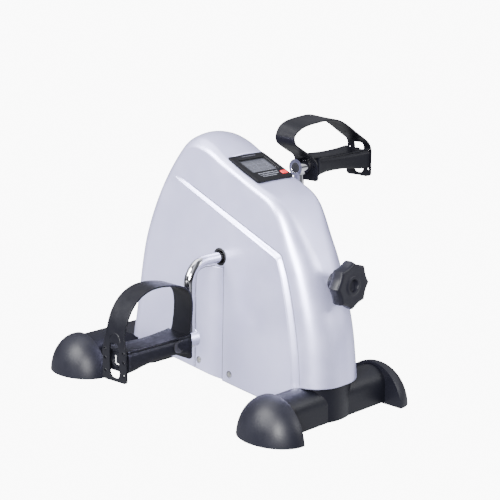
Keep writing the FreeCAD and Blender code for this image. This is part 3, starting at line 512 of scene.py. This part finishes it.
# ---------------------------------------------------------------- lines, screws and grommets on the hood
def surf_strip(name, pts, profile, look, lift=0.0, both=True):
    """A strip laid on both hood sides along (y, z) points; profile is (across, height) pairs."""
    c = dense(pts, 1.5)
    t = tangents(c)
    nrm = np.column_stack([-t[:, 1], t[:, 0]])
    for sx, side in ((-1, "left"), (1, "right")):
        v = []
        for (y, z), n in zip(c, nrm):
            for a, h in profile:
                yy, zz = y + n[0] * a, z + n[1] * a
                v.append((sx * (side_x(yy, zz) + h + lift), yy + CY, zz))
        mesh("%s_%s" % (side, name), v, grid_faces(len(c), len(profile)), look, "base", slot="silver_cover", sharp=None)


surf_strip("side_seam", [(-6.9, 29.0), (-6.9, 60.0), (-6.9, 110.0), (-6.9, 163.5)], [(-0.42, 0.0), (-0.3, 0.10), (0.3, 0.10), (0.42, 0.0)], "dark_line_and_shade", 0.02)
hook = [(41.0, 33.0), (41.0, 64.0), (41.0, 100.0), (41.0, 134.0), (39.6, 144.0), (34.5, 151.5), (25.0, 157.0), (14.0, 160.0), (9.0, 161.5)]
surf_strip("cover_edge_line", hook, [(-0.5, 0.0), (-0.35, 0.08), (0.35, 0.08), (0.5, 0.0)], "dark_line_and_shade", 0.04)
hook2 = [(43.6, 33.0), (43.6, 64.0), (43.6, 100.0), (43.6, 135.0), (42.2, 146.0), (36.5, 154.3), (26.2, 160.0), (15.0, 163.2)]
surf_strip("cover_edge_bead", hook2, [(-1.5, -0.05), (-0.9, 0.45), (0.0, 0.75), (0.9, 0.45), (1.5, -0.05)], "silver", 0.0)

# a dark strip along the outer foot of the ridge: painted shade in the crease
foot = [(ridge_y(z, 0.0, -0.35), z) for z in np.concatenate([np.linspace(249.0, 195.0, 19), np.linspace(190.0, 48.0, 48)])]
surf_strip("ridge_crease_painted_shade", foot, [(-0.75, 0.0), (-0.5, 0.09), (0.5, 0.09), (0.75, 0.0)], "dark_line_and_shade", 0.03)

for sx, side in ((-1, "left"), (1, "right")):
    vr, fr, vh, fh = [], [], [], []
    for y0, z0 in ((34.0, 42.0), (-18.7, 36.5)):
        sxx = side_x(y0, z0)
        n = 40
        # a dark ring round the head as painted shade in its recess, then the pan head with a cross slot
        b = len(vr)
        prof = [(4.5, -0.02), (4.25, 0.16), (3.5, 0.02), (3.4, -0.3)]
        for r, h in prof:
            for k in range(n):
                a = 2 * math.pi * k / n
                vr.append((sx * (sxx + h), y0 + CY + r * math.cos(a), z0 + r * math.sin(a)))
        fr += grid_faces(len(prof), n, b, wrap=True)
        b = len(vh)
        prof = [(3.5, 0.06), (3.2, 0.22), (2.2, 0.42), (1.0, 0.5), (0.02, 0.5)]
        for r, h in prof:
            for k in range(n):
                a = 2 * math.pi * k / n
                slot_in = r < 2.3 and (abs(math.sin(2 * a)) < 0.42)
                vh.append((sx * (sxx + h - (0.38 if slot_in else 0.0)), y0 + CY + r * math.cos(a), z0 + r * math.sin(a)))
        fh += grid_faces(len(prof), n, b, wrap=True)
    mesh(side + "_screw_recess_shade", vr, fr, "dark_line_and_shade", "base", slot="silver_cover")
    mesh(side + "_screw_heads", vh, fh, "zinc", "base", replaces=["hood_screws"] if sx < 0 else None, slot="zinc_fasteners", sharp=20)


def lathe_x(name, cx_sign, prof, cy, cz, look, body, n=64, sharp=30, **kw):
    """prof is (radius, outward x) pairs, turned about an axis along X."""
    v = []
    for r, x in prof:
        for k in range(n):
            a = 2 * math.pi * k / n
            v.append((cx_sign * x, cy + r * math.cos(a), cz + r * math.sin(a)))
    return mesh(name, v, grid_faces(len(prof), n, wrap=True), look, body, sharp=sharp, **kw)


for sx, side in ((-1, "left"), (1, "right")):
    gx = side_x(0.0, 184.5)
    lathe_x(side + "_grommet_lip", sx, [(10.0, gx - 8.0), (10.3, gx - 1.2), (10.5, gx + 0.5), (10.0, gx + 1.1), (9.0, gx + 1.3), (8.2, gx + 1.0), (7.6, gx + 0.2), (7.3, gx - 1.2), (7.2, gx - 8.0), (10.0, gx - 8.0)],
            CY, CZ, "grommet", "base", replaces=[side + "_crank_grommet"], slot="grommet_black")


# ---------------------------------------------------------------- straps
def rounded(pts, n=7):
    """Polygon with rounded corners from (x, y, radius) triples."""
    out = []
    m = len(pts)
    for i in range(m):
        p = np.array(pts[i][:2], float)
        r = pts[i][2]
        if r <= 0:
            out.append(tuple(p))
            continue
        a = np.array(pts[i - 1][:2], float) - p
        b = np.array(pts[(i + 1) % m][:2], float) - p
        la, lb = np.linalg.norm(a), np.linalg.norm(b)
        a, b = a / la, b / lb
        ang = math.acos(max(-1, min(1, float(a @ b))))
        d = min(r / math.tan(ang / 2), la * 0.49, lb * 0.49)
        r = d * math.tan(ang / 2)
        c = p + (a + b) / np.linalg.norm(a + b) * (r / math.sin(ang / 2))
        s0, s1 = p + a * d, p + b * d
        t0, t1 = math.atan2(*(s0 - c)[::-1]), math.atan2(*(s1 - c)[::-1])
        dt = (t1 - t0 + math.pi) % (2 * math.pi) - math.pi
        for k in range(n + 1):
            t = t0 + dt * k / n
            out.append((c[0] + r * math.cos(t), c[1] + r * math.sin(t)))
    return out


def resample(poly, step):
    out = []
    for i in range(len(poly)):
        a, b = np.array(poly[i]), np.array(poly[(i + 1) % len(poly)])
        k = max(1, int(np.ceil(np.linalg.norm(b - a) / step)))
        for j in range(k):
            out.append(tuple(a + (b - a) * j / k))
    return out


def inside(p, poly):
    x, y = p
    c = False
    for i in range(len(poly)):
        x1, y1 = poly[i]
        x2, y2 = poly[i - 1]
        if (y1 > y) != (y2 > y) and x < (x2 - x1) * (y - y1) / (y2 - y1) + x1:
            c = not c
    return c


def flat_sheet(outer, holes, step=2.2):
    loops = [resample(outer, step * 0.8)] + [resample(h, 0.7 if len(h) < 26 else step * 0.6) for h in holes]
    pts, edges = [], []
    for lp in loops:
        b = len(pts)
        pts += [Vector(p) for p in lp]
        edges += [(b + i, b + (i + 1) % len(lp)) for i in range(len(lp))]
    xs = [p[0] for p in loops[0]]
    ys = [p[1] for p in loops[0]]
    rim = np.array([tuple(p) for p in pts])
    x = min(xs) + step * 0.5
    while x < max(xs):
        y = min(ys) + step * 0.5
        while y < max(ys):
            p = (x, y)
            if np.min(np.hypot(rim[:, 0] - x, rim[:, 1] - y)) > step * 0.55 and inside(p, loops[0]) and not any(inside(p, h) for h in loops[1:]):
                pts.append(Vector(p))
            y += step
        x += step
    v, _, f, *_ = delaunay_2d_cdt(pts, edges, [], 0, 1e-5)
    v = [(p.x, p.y) for p in v]
    keep = []
    for t in f:
        c = (sum(v[i][0] for i in t) / len(t), sum(v[i][1] for i in t) / len(t))
        if inside(c, loops[0]) and not any(inside(c, h) for h in loops[1:]):
            keep.append(tuple(t))
    return v, keep


def ring(cx, cy, r, n=18):
    return [(cx + r * math.cos(2 * math.pi * k / n), cy + r * math.sin(2 * math.pi * k / n)) for k in range(n)]


LOW = [(202.0, -24.5), (202.0, -12.0), (202.0, 2.0), (201.9, 16.0), (200.2, 28.0), (196.0, 43.0), (189.5, 55.5), (178.5, 66.5), (163.0, 73.2), (147.5, 74.4),
       (129.5, 72.2), (113.5, 67.5), (103.5, 59.5), (100.2, 49.0), (100.6, 33.0), (103.2, 17.0), (104.8, 4.0), (104.9, -8.0), (104.9, -17.5)]
HIGH = [(202.0, -24.5), (202.0, -12.0), (202.0, 0.0), (202.4, 8.0), (201.6, 15.0), (197.0, 21.5), (188.0, 27.5), (177.5, 34.0), (166.0, 41.5), (150.5, 50.0),
        (136.0, 54.8), (122.0, 56.4), (107.0, 55.6), (92.0, 54.2), (79.5, 51.4), (70.5, 46.2), (66.0, 38.8), (68.0, 31.8), (75.0, 26.6), (86.0, 20.0), (97.0, 13.3),
        (103.2, 5.5), (104.9, -4.0), (104.9, -11.0), (104.9, -17.5)]
STRAP = {}


def make_strap(side, sx, up, path):
    c = dense(path, 1.0, 1.5)
    s = np.concatenate([[0], np.cumsum(np.linalg.norm(np.diff(c, axis=0), axis=1))])
    L = float(s[-1])
    t = tangents(c)
    n = np.column_stack([-t[:, 1], t[:, 0]])
    zc = CZ + up * RAD
    outer = rounded([(0.0, -20.0, 5.0), (0.0, 20.0, 5.0), (33.0, 19.6, 12.0), (52.0, 15.2, 14.0), (L - 34.0, 15.0, 12.0), (L - 20.0, 18.2, 8.0), (L, 18.2, 4.0),
                     (L, -18.2, 4.0), (L - 20.0, -18.2, 8.0), (L - 34.0, -15.0, 12.0), (52.0, -15.2, 14.0), (33.0, -19.6, 12.0)])
    outer[0:8] = [(a + (0.8 * max(0.0, 1 - a / 4.0)), b) for a, b in outer[0:8]]
    holes = [rounded([(4.2, -8.4, 6.5), (4.2, 8.0, 6.5), (44.0, 7.2, 4.0), (44.0, -7.6, 4.0)])]
    for sw in (-15.4, 15.4):
        for ss in (10.0, 24.4, 34.8):
            holes.append(ring(ss, sw, 1.45))
        holes.append(ring(L - 17.2, sw * 0.82, 1.5))
    if up > 0:
        holes.append(ring(72.0, 0.6, 1.3))
    v2, f2 = flat_sheet(outer, holes)
    v = []
    for a, w in v2:
        a = min(max(a, 0.0), L)
        x, z = np.interp(a, s, c[:, 0]), np.interp(a, s, c[:, 1])
        if up > 0:
            # the slack band leans: its near edge hangs a little lower over the top
            z += 0.13 * w * float(sstep((z - 40.0) / 10.0)) * float(sstep((150.0 - x) / 30.0))
        v.append((sx * x, CY + w, zc + z))
    o = mesh(side + "_strap_band", v, f2, "strap", side + "_pedal", sharp=None, replaces=[side + "_pedal_strap"], slot="strap_black")
    md = o.modifiers.new("thick", "SOLIDIFY")
    md.thickness = 2.0 * S
    md.offset = 0.0
    md.use_even_offset = False
    bv = o.modifiers.new("edge", "BEVEL")
    bv.width = 0.45 * S
    bv.segments = 2
    bv.limit_method = "ANGLE"
    bv.angle_limit = math.radians(60)
    wn = o.modifiers.new("normals", "WEIGHTED_NORMAL")
    wn.keep_sharp = False
    STRAP[side] = (c, s, n, sx, zc)

    # a moulded arc above the slot and shallow collars round the peg holes
    def on(a, w, h):
        x, z = np.interp(a, s, c[:, 0]), np.interp(a, s, c[:, 1])
        nx, nz = np.interp(a, s, n[:, 0]), np.interp(a, s, n[:, 1])
        return (sx * (x - nx * h), CY + w, zc + z - nz * h)
    v, f = [], []
    prof = [(-0.7, 0.95), (-0.4, 1.3), (0.0, 1.42), (0.4, 1.3), (0.7, 0.95)]
    m = 26
    for k in range(m):
        th = math.pi * k / (m - 1)
        for a, h in prof:
            r = 8.8 + a
            v.append(on(45.5 + r * math.sin(th), -0.2 + r * math.cos(th), h))
    f += grid_faces(m, len(prof))
    for sw in (-15.4, 15.4):
        for ss in (10.0, 24.4, 34.8):
            b = len(v)
            pr = [(1.5, 0.9), (1.65, 1.3), (2.2, 1.32), (2.5, 0.95)]
            for r, h in pr:
                for k in range(20):
                    th = 2 * math.pi * k / 20
                    v.append(on(ss + r * math.sin(th), sw + r * math.cos(th), h))
            f += grid_faces(len(pr), 20, b, wrap=True)
    mesh(side + "_strap_moulding", v, f, "strap", side + "_pedal", sharp=40, slot="strap_black")


make_strap("left", -1, -1, LOW)
make_strap("right", 1, 1, HIGH)


# ---------------------------------------------------------------- pedal bodies
def make_pedal(side, sx, up):
    zc = CZ + up * RAD
    x0, x1 = 106.2, 198.6
    ns = 64
    v, f = [], []
    count = None
    for i in range(ns + 1):
        u = i / ns
        x = x0 + (x1 - x0) * u
        bulge = math.sin(math.pi * u)
        end = max(0.0, 1 - (x - x0) / 4.0) ** 2 + max(0.0, 1 - (x1 - x) / 4.0) ** 2
        W = 19.4 - 3.0 * bulge + 0.6 * end
        zt_ = 12.4 - 1.7 * bulge
        zb = float(np.interp(x, [106.2, 112, 124, 136, 158, 175, 187, 198.6], [-12.0, -10.3, -8.8, -8.7, -9.3, -11.0, -12.8, -13.4]))
        cd = 1.0 * (0.45 + 0.55 * u)
        half_sec = [(0.0, zt_ - 2.6), (-W * 0.35, zt_ - 2.3), (-W * 0.65, zt_ - 1.5), (-W + 3.2, zt_ - 0.6), (-W + 1.7, zt_ - 0.02), (-W + 0.7, zt_ - 0.2), (-W + 0.15, zt_ - 0.9),
                    (-W + 0.3 + 0.3 * cd, zt_ - 1.7), (-W + 0.5 + 1.2 * cd, zt_ - 2.5), (-W + 0.5 + 1.5 * cd, zt_ - 3.3), (-W + 0.5 + 0.8 * cd, zt_ - 4.2), (-W + 0.35, zt_ - 5.5), (-W + 0.1, zt_ - 8.0),
                    (-W + 0.3, (zt_ + zb) / 2 - 2), (-W + 0.9, zb + 4.0), (-W + 1.9, zb + 1.6), (-W + 3.6, zb + 0.35), (-W + 6.0, zb), (-W * 0.35, zb + 0.1), (0.0, zb + 0.1)]
        d = dense(half_sec, 0.5)
        k = np.linspace(0, len(d) - 1, 72).round().astype(int)
        hs = d[k]
        full = np.vstack([hs, np.column_stack([-hs[::-1, 0], hs[::-1, 1]])[1:-1]])
        count = len(full)
        for y, z in full:
            v.append((sx * x, CY + y, zc + z))
    f = grid_faces(ns + 1, count, wrap=True)
    # closed ends: an inset rim, then the flat end
    for e, xe, rows_in in ((0, x0, -1), (ns, x1, 1)):
        loop = [e * count + j for j in range(count)]
        P3 = np.array([v[j] for j in loop])
        cen = np.array([P3[0][0], CY, zc + 0.4])
        prev = loop
        for k, (sc, dx) in enumerate(((0.95, 0.45), (0.90, 0.45), (0.86, -0.4), (0.5, -0.4), (0.02, -0.4))):
            new = []
            for j in range(count):
                p = cen + (P3[j] - cen) * np.array([1, sc, sc])
                new.append(len(v))
                v.append((p[0] + sx * dx * rows_in, p[1], p[2]))
            for j in range(count):
                f.append((prev[j], prev[(j + 1) % count], new[(j + 1) % count], new[j]))
            prev = new
        f.append(tuple(prev))
    mesh(side + "_pedal_tread", v, f, "pedal", side + "_pedal", sharp=32, replaces=[side + "_pedal_body", side + "_pedal_bushes"], slot="pedal_black")
    # spindle access plug on one long side
    sy = -1 if side == "left" else 1
    xq, zq = 123.4, 1.0
    bulge = math.sin(math.pi * (xq - x0) / (x1 - x0))
    yq = sy * (19.4 - 3.0 * bulge - 0.15)
    v, n = [], 48
    prof = [(7.5, -0.3), (7.4, 0.12), (7.0, 0.2), (6.6, 0.02), (6.3, -0.15), (3.0, -0.12), (0.02, -0.12)]
    for r, h in prof:
        for k in range(n):
            a = 2 * math.pi * k / n
            v.append((sx * (xq + r * math.cos(a)), CY + yq + sy * h, zc + zq + r * math.sin(a)))
    mesh(side + "_pedal_plug", v, grid_faces(len(prof), n, wrap=True), "grommet", side + "_pedal", slot="pedal_black")
    # dust cap with raised rings
    lathe_x(side + "_dust_cap_face", sx, [(0.02, 199.6), (4.6, 199.6), (5.0, 200.0), (5.7, 200.0), (6.1, 199.4), (7.4, 199.4), (7.8, 200.0), (8.5, 199.9), (8.8, 199.2), (8.9, 196.0)],
            CY, zc, "pedal", side + "_pedal", sharp=25, replaces=[side + "_dust_cap"], slot="pedal_black")
    lathe_x(side + "_end_boss", sx, [(9.2, 198.2), (9.5, 199.3), (10.4, 199.3), (10.8, 198.5), (11.6, 198.4)],
            CY, zc, "pedal", side + "_pedal", sharp=25, slot="pedal_black")
    # left or right mark
    q = []
    if side == "left":
        bars = [((2.2, 4.2), (2.2, -4.4), 0.7), ((2.2, -4.4), (-2.0, -4.4), 0.7)]
    else:
        bars = [((-2.0, 4.2), (-2.0, -4.4), 0.6), ((-2.0, 3.8), (2.0, 3.4), 0.6), ((2.0, 3.8), (2.0, 0.2), 0.6), ((-2.0, 0.0), (2.0, 0.0), 0.6), ((-0.6, 0.0), (2.2, -4.4), 0.6)]
    v, f = [], []
    for (a0, b0), (a1, b1), w in bars:
        d = np.array([a1 - a0, b1 - b0], float)
        d /= np.linalg.norm(d)
        nn = np.array([-d[1], d[0]]) * w
        b = len(v)
        quad = [(a0 - d[0] * w + nn[0], b0 - d[1] * w + nn[1]), (a0 - d[0] * w - nn[0], b0 - d[1] * w - nn[1]), (a1 + d[0] * w - nn[0], b1 + d[1] * w - nn[1]), (a1 + d[0] * w + nn[0], b1 + d[1] * w + nn[1])]
        for h in (199.4, 200.15):
            for yy, zz in quad:
                v.append((sx * h, CY + yy - 1.6, zc + zz))
        f += [(b + 4, b + 5, b + 6, b + 7)] + [(b + i, b + (i + 1) % 4, b + 4 + (i + 1) % 4, b + 4 + i) for i in range(4)]
    mesh(side + "_side_mark", v, f, "mark", side + "_pedal", slot="pedal_black")


make_pedal("left", -1, -1)
make_pedal("right", 1, 1)

# hexagon sockets in the crank eyes: a chrome rim, and inside it a dark disc as painted shadow
for sx, side, up in ((-1, "left", -1), (1, "right", 1)):
    lathe_x(side + "_spindle_socket", sx, [(8.6, 84.62), (8.4, 84.3), (6.4, 84.25), (6.1, 84.5)], CY, CZ + up * RAD, "chrome", "crank", slot="chrome_rod")
    lathe_x(side + "_socket_shadow", sx, [(6.3, 84.45), (5.9, 84.38), (3.0, 84.4), (0.02, 84.42)], CY, CZ + up * RAD, "grommet", "crank", slot="zinc_fasteners")

# ---------------------------------------------------------------- knob
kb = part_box("tension_knob")
k_back = kb[1][1] / S - CY
n = 192
prof = [(0.02, -162.4, 0), (6.0, -162.4, 0), (6.7, -162.7, 0), (6.95, -165.9, 0), (7.4, -166.5, 0), (9.5, -166.6, 0), (10.4, -166.3, 0), (11.0, -165.9, 0), (13.0, -165.9, 0.2), (17.0, -166.1, 0.5),
        (21.5, -166.4, 0.9), (23.6, -166.3, 1), (25.2, -165.5, 1), (26.1, -164.2, 1), (26.5, -162.4, 1), (26.5, -156.5, 1), (26.1, -154.0, 1), (25.0, -152.0, 1), (22.5, -150.6, 1), (17.0, -149.8, 0.6),
        (11.5, -149.6, 0), (10.4, -149.0, 0), (10.0, -147.5, 0), (10.0, min(-133.0, k_back), 0)]
v = []
for r, y, lobe in prof:
    for k in range(n):
        a = 2 * math.pi * k / n
        cut = abs(math.sin(4 * a)) ** 0.9
        rr = r * 1.025 * (1 - 0.125 * cut * lobe)
        v.append((rr * math.sin(a), y + CY, 161.8 + rr * math.cos(a)))
mesh("tension_knob_grip", v, grid_faces(len(prof), n, wrap=True), "knob", "knob", sharp=38, replaces=["tension_knob"], slot="knob_black")


# ---------------------------------------------------------------- console details
def local_top(name):
    me_ = NODES[name].data
    co = np.empty(len(me_.vertices) * 3)
    me_.vertices.foreach_get("co", co)
    co = co.reshape(-1, 3) / S
    d = co - con_c
    return float((d @ con_n).max()), float((d @ con_y).min()), float((d @ con_y).max()), float(d[:, 0].min()), float(d[:, 0].max())


tops = {k: local_top(k) for k in ("console_bezel", "console_window", "lcd_panel", "reset_button", "console_tray")}
h_top, h_lcd, h_win = tops["console_bezel"][0], tops["lcd_panel"][0], tops["console_window"][0]


def con(x, sr, h):
    """sr is measured from the rear edge of the console."""
    p = con_c + np.array([x, 0, 0]) + con_y * (27.3 - sr) + con_n * h
    return tuple(p)


def bars_mesh(name, bars, h, look, slot):
    v, f = [], []
    for xa, sa, xb, sb in bars:
        b = len(v)
        for hh in (h - 0.05, h + 0.06):
            v += [con(xa, sa, hh), con(xb, sa, hh), con(xb, sb, hh), con(xa, sb, hh)]
        f += [(b + 4, b + 5, b + 6, b + 7)] + [(b + i, b + (i + 1) % 4, b + 4 + (i + 1) % 4, b + 4 + i) for i in range(4)]
    return mesh(name, v, f, look, "base", slot=slot)


SEG = {"0": "abcdef", "1": "bc", "2": "abged", "3": "abgcd", "4": "fgbc", "5": "afgcd", "6": "afgedc", "7": "abc", "8": "abcdefg", "9": "abcdfg"}


def seven(bars, ch, x, s, w, hgt, t):
    xa, xb, sa, sm, sb = x, x + w, s, s + hgt / 2, s + hgt
    segs = {"a": (xa, sa, xb, sa + t), "g": (xa, sm - t / 2, xb, sm + t / 2), "d": (xa, sb - t, xb, sb), "f": (xa, sa, xa + t, sm), "b": (xb - t, sa, xb, sm), "e": (xa, sm, xa + t, sb), "c": (xb - t, sm, xb, sb)}
    for q in SEG[ch]:
        bars.append(segs[q])


def rrect(cx, cy, hx, hy, r, n=6, m=10):
    out = []
    for qx, qy, a0 in ((1, 1, 0), (-1, 1, 90), (-1, -1, 180), (1, -1, 270)):
        for k in range(n + 1):
            a = math.radians(a0 + 90.0 * k / n)
            out.append((cx + qx * (hx - r) + r * math.cos(a), cy + qy * (hy - r) + r * math.sin(a)))
        nxt = {(1, 1): (-1, 1), (-1, 1): (-1, -1), (-1, -1): (1, -1), (1, -1): (1, 1)}[(qx, qy)]
        a = math.radians(a0 + 90.0)
        p0 = out[-1]
        p1 = (cx + nxt[0] * (hx - r) + r * math.cos(a), cy + nxt[1] * (hy - r) + r * math.sin(a))
        for k in range(1, m):
            out.append((p0[0] + (p1[0] - p0[0]) * k / m, p0[1] + (p1[1] - p0[1]) * k / m))
    return out


loops = [(0, 0, 28.6, 27.05, 3.0, -4.0), (0, 0, 28.85, 27.3, 3.2, 0.1), (0, 0, 28.6, 27.05, 3.0, 0.85), (0, 0, 27.9, 26.35, 2.6, 1.28), (0, 0, 26.4, 24.85, 2.0, 1.24), (0, 0, 26.0, 24.4, 1.8, 0.8),
         (0.8, 4.5, 22.6, 14.8, 2.0, 0.8), (0.8, 4.5, 22.3, 14.5, 1.8, 1.1), (0.8, 4.5, 21.6, 13.8, 1.4, 1.1), (0.8, 4.5, 21.1, 13.3, 1.2, 0.5), (0.8, 4.5, 20.9, 13.1, 1.2, -2.2)]
v, cnt = [], 0
for cx_, cy_, hx, hy, r, h in loops:
    lp_ = rrect(cx_, cy_, hx, hy, r)
    cnt = len(lp_)
    for px, py in lp_:
        v.append(tuple(con_c + np.array([px, 0, 0]) + con_y * py + con_n * h))
mesh("console_frame", v, grid_faces(len(loops), cnt, wrap=True), "console", "base", sharp=28, replaces=["console_bezel"], slot="console_black")
h_top = 0.82

bars = []
for line, (s0, hgt) in enumerate(((11.6, 5.2), (19.2, 5.2), (26.8, 6.6))):
    x = -17.6
    for ch in ("0:00 888", "00.0 888", "000 8888")[line]:
        if ch == " ":
            x += 2.4
            continue
        if ch in ":.":
            for yy in ((0.3, 0.7) if ch == ":" else (0.92,)):
                bars.append((x, s0 + hgt * yy - 0.35, x + 0.7, s0 + hgt * yy + 0.35))
            x += 1.8
            continue
        seven(bars, ch, x, s0, 3.6, hgt, 0.62)
        x += 5.1
bars_mesh("lcd_digits", bars, h_lcd + 0.05, "lcd_ink", "lcd_grey")
rng = np.random.default_rng(4)
bars = []
for s0, xa, xb, hh in ((39.4, -15.5, 14.0, 1.5), (42.8, -15.0, 12.0, 1.5), (46.2, -14.0, 6.0, 1.1)):
    x = xa
    while x < xb:
        w = float(rng.uniform(0.8, 2.2))
        bars.append((x, s0 + (0 if rng.random() > 0.3 else hh * 0.35), x + w, s0 + hh))
        x += w + float(rng.uniform(0.35, 0.8))
bars_mesh("console_print_marks", bars, h_top + 0.0, "print", "console_black")
bars = []
for s0 in (3.4,):
    x = -9.0
    while x < 12.0:
        w = float(rng.uniform(0.8, 1.9))
        bars.append((x, s0, x + w, s0 + 1.2))
        x += w + 0.6
bars_mesh("console_top_marks", bars, h_top + 0.0, "dark_line_and_shade", "console_black")

for n_ in ("console_tray", "reset_button", "front_foot_beam", "rear_foot_beam", "front_left_foot_cap", "front_right_foot_cap", "rear_left_foot_cap", "rear_right_foot_cap"):
    o = NODES[n_]
    o.data.polygons.foreach_set("use_smooth", [True] * len(o.data.polygons))
    bv = o.modifiers.new("edge", "BEVEL")
    bv.width = (0.7 if n_.startswith(("console", "reset")) else 0.8) * S
    bv.segments = 3
    bv.limit_method = "ANGLE"
    bv.angle_limit = math.radians(40)
    bv.use_clamp_overlap = True
    bv.harden_normals = True

# ---------------------------------------------------------------- camera
A, E = math.radians(45.383), math.radians(13.471)
back = Vector((-math.sin(A) * math.cos(E), -math.cos(A) * math.cos(E), math.sin(E)))
target = Vector((0.0, (-5.76 + CY) * S, 176.44 * S))
cam_data = bpy.data.cameras.new("camera")
cam = bpy.data.objects.new("camera", cam_data)
bpy.context.scene.collection.objects.link(cam)
cam.location = target + back * 1.6498
cam.rotation_euler = back.to_track_quat("Z", "Y").to_euler()
cam_data.sensor_width = 36.0
cam_data.lens = 1413.31 / 500.0 * 36.0
cam_data.shift_x = 0.76 / 500.0
cam_data.shift_y = -1.0 / 500.0
cam_data.clip_start = 0.05
cam_data.clip_end = 60.0
bpy.context.scene.camera = cam

# ---------------------------------------------------------------- studio light
world = bpy.data.worlds.new("studio")
world.use_nodes = True
wt = world.node_tree
bgn = wt.nodes["Background"]
lp = wt.nodes.new("ShaderNodeLightPath")
bg2 = wt.nodes.new("ShaderNodeBackground")
mixs = wt.nodes.new("ShaderNodeMixShader")
wtc = wt.nodes.new("ShaderNodeTexCoord")
sep = wt.nodes.new("ShaderNodeSeparateXYZ")
mrz = wt.nodes.new("ShaderNodeMapRange")
mrz.inputs["From Min"].default_value = -1.0
sky = wt.nodes.new("ShaderNodeValToRGB")
stops = [(0.0, 0.62), (0.40, 0.55), (0.475, 0.16), (0.50, 0.05), (0.555, 0.06), (0.60, 0.42), (0.78, 0.62), (1.0, 0.70)]
sky.color_ramp.elements[0].position, sky.color_ramp.elements[0].color = stops[0][0], (stops[0][1] * 0.95, stops[0][1] * 0.96, stops[0][1], 1)
sky.color_ramp.elements[1].position, sky.color_ramp.elements[1].color = stops[-1][0], (stops[-1][1] * 0.90, stops[-1][1] * 0.92, stops[-1][1], 1)
for p_, g_ in stops[1:-1]:
    e_ = sky.color_ramp.elements.new(p_)
    e_.color = (g_ * 0.93, g_ * 0.94, g_, 1)
wt.links.new(wtc.outputs["Generated"], sep.inputs[0])
wt.links.new(sep.outputs["Z"], mrz.inputs["Value"])
wt.links.new(mrz.outputs["Result"], sky.inputs["Fac"])
# soft boxes and dark gaps around the stand: brightness by compass direction
rad = wt.nodes.new("ShaderNodeTexGradient")
rad.gradient_type = "RADIAL"
ring = wt.nodes.new("ShaderNodeValToRGB")
turn = [(0.0, 0.45), (0.04, 0.42), (0.075, 1.15), (0.13, 2.3), (0.18, 1.3), (0.225, 0.40), (0.285, 0.34), (0.34, 1.5), (0.42, 3.2), (0.52, 1.5), (0.64, 0.8), (0.80, 1.3), (0.875, 2.3), (0.920, 1.1), (0.955, 0.35), (1.0, 0.45)]
ring.color_ramp.elements[0].position, ring.color_ramp.elements[0].color = turn[0][0], (turn[0][1],) * 3 + (1,)
ring.color_ramp.elements[1].position, ring.color_ramp.elements[1].color = turn[-1][0], (turn[-1][1],) * 3 + (1,)
for p_, g_ in turn[1:-1]:
    e_ = ring.color_ramp.elements.new(p_)
    e_.color = (g_, g_, g_, 1)
mulc = wt.nodes.new("ShaderNodeMix")
mulc.data_type = "RGBA"
mulc.blend_type = "MULTIPLY"
mulc.inputs["Factor"].default_value = 1.0
wt.links.new(wtc.outputs["Generated"], rad.inputs["Vector"])
wt.links.new(rad.outputs["Fac"], ring.inputs["Fac"])
wt.links.new(sky.outputs["Color"], mulc.inputs[6])
wt.links.new(ring.outputs["Color"], mulc.inputs[7])
wt.links.new(mulc.outputs[2], bgn.inputs[0])
bgn.inputs[1].default_value = 1.0
bg2.inputs[0].default_value = (1.0, 1.0, 1.0, 1.0)
bg2.inputs[1].default_value = 10.0
wt.links.new(lp.outputs["Is Camera Ray"], mixs.inputs[0])
wt.links.new(bgn.outputs[0], mixs.inputs[1])
wt.links.new(bg2.outputs[0], mixs.inputs[2])
wt.links.new(mixs.outputs[0], wt.nodes["World Output"].inputs[0])
bpy.context.scene.world = world


def area(name, loc, look, size, power, color=(1, 1, 1), size_y=None):
    d = bpy.data.lights.new(name, "AREA")
    d.energy = power
    d.color = color
    d.size = size
    if size_y:
        d.shape = "RECTANGLE"
        d.size_y = size_y
    o = bpy.data.objects.new(name, d)
    bpy.context.scene.collection.objects.link(o)
    o.location = loc
    o.rotation_euler = (Vector(loc) - Vector(look)).to_track_quat("Z", "Y").to_euler()
    return o


area("key", (-2.0, -1.45, 1.0), (0, 0, 0.15), 0.9, 144)
area("side", (-1.9, 0.5, 1.7), (0, 0, 0.15), 1.3, 166)
area("front_right", (1.3, -2.2, 1.2), (0, 0, 0.15), 1.1, 34)
area("top", (-0.2, 0.7, 2.4), (0, 0, 0.1), 1.6, 26)
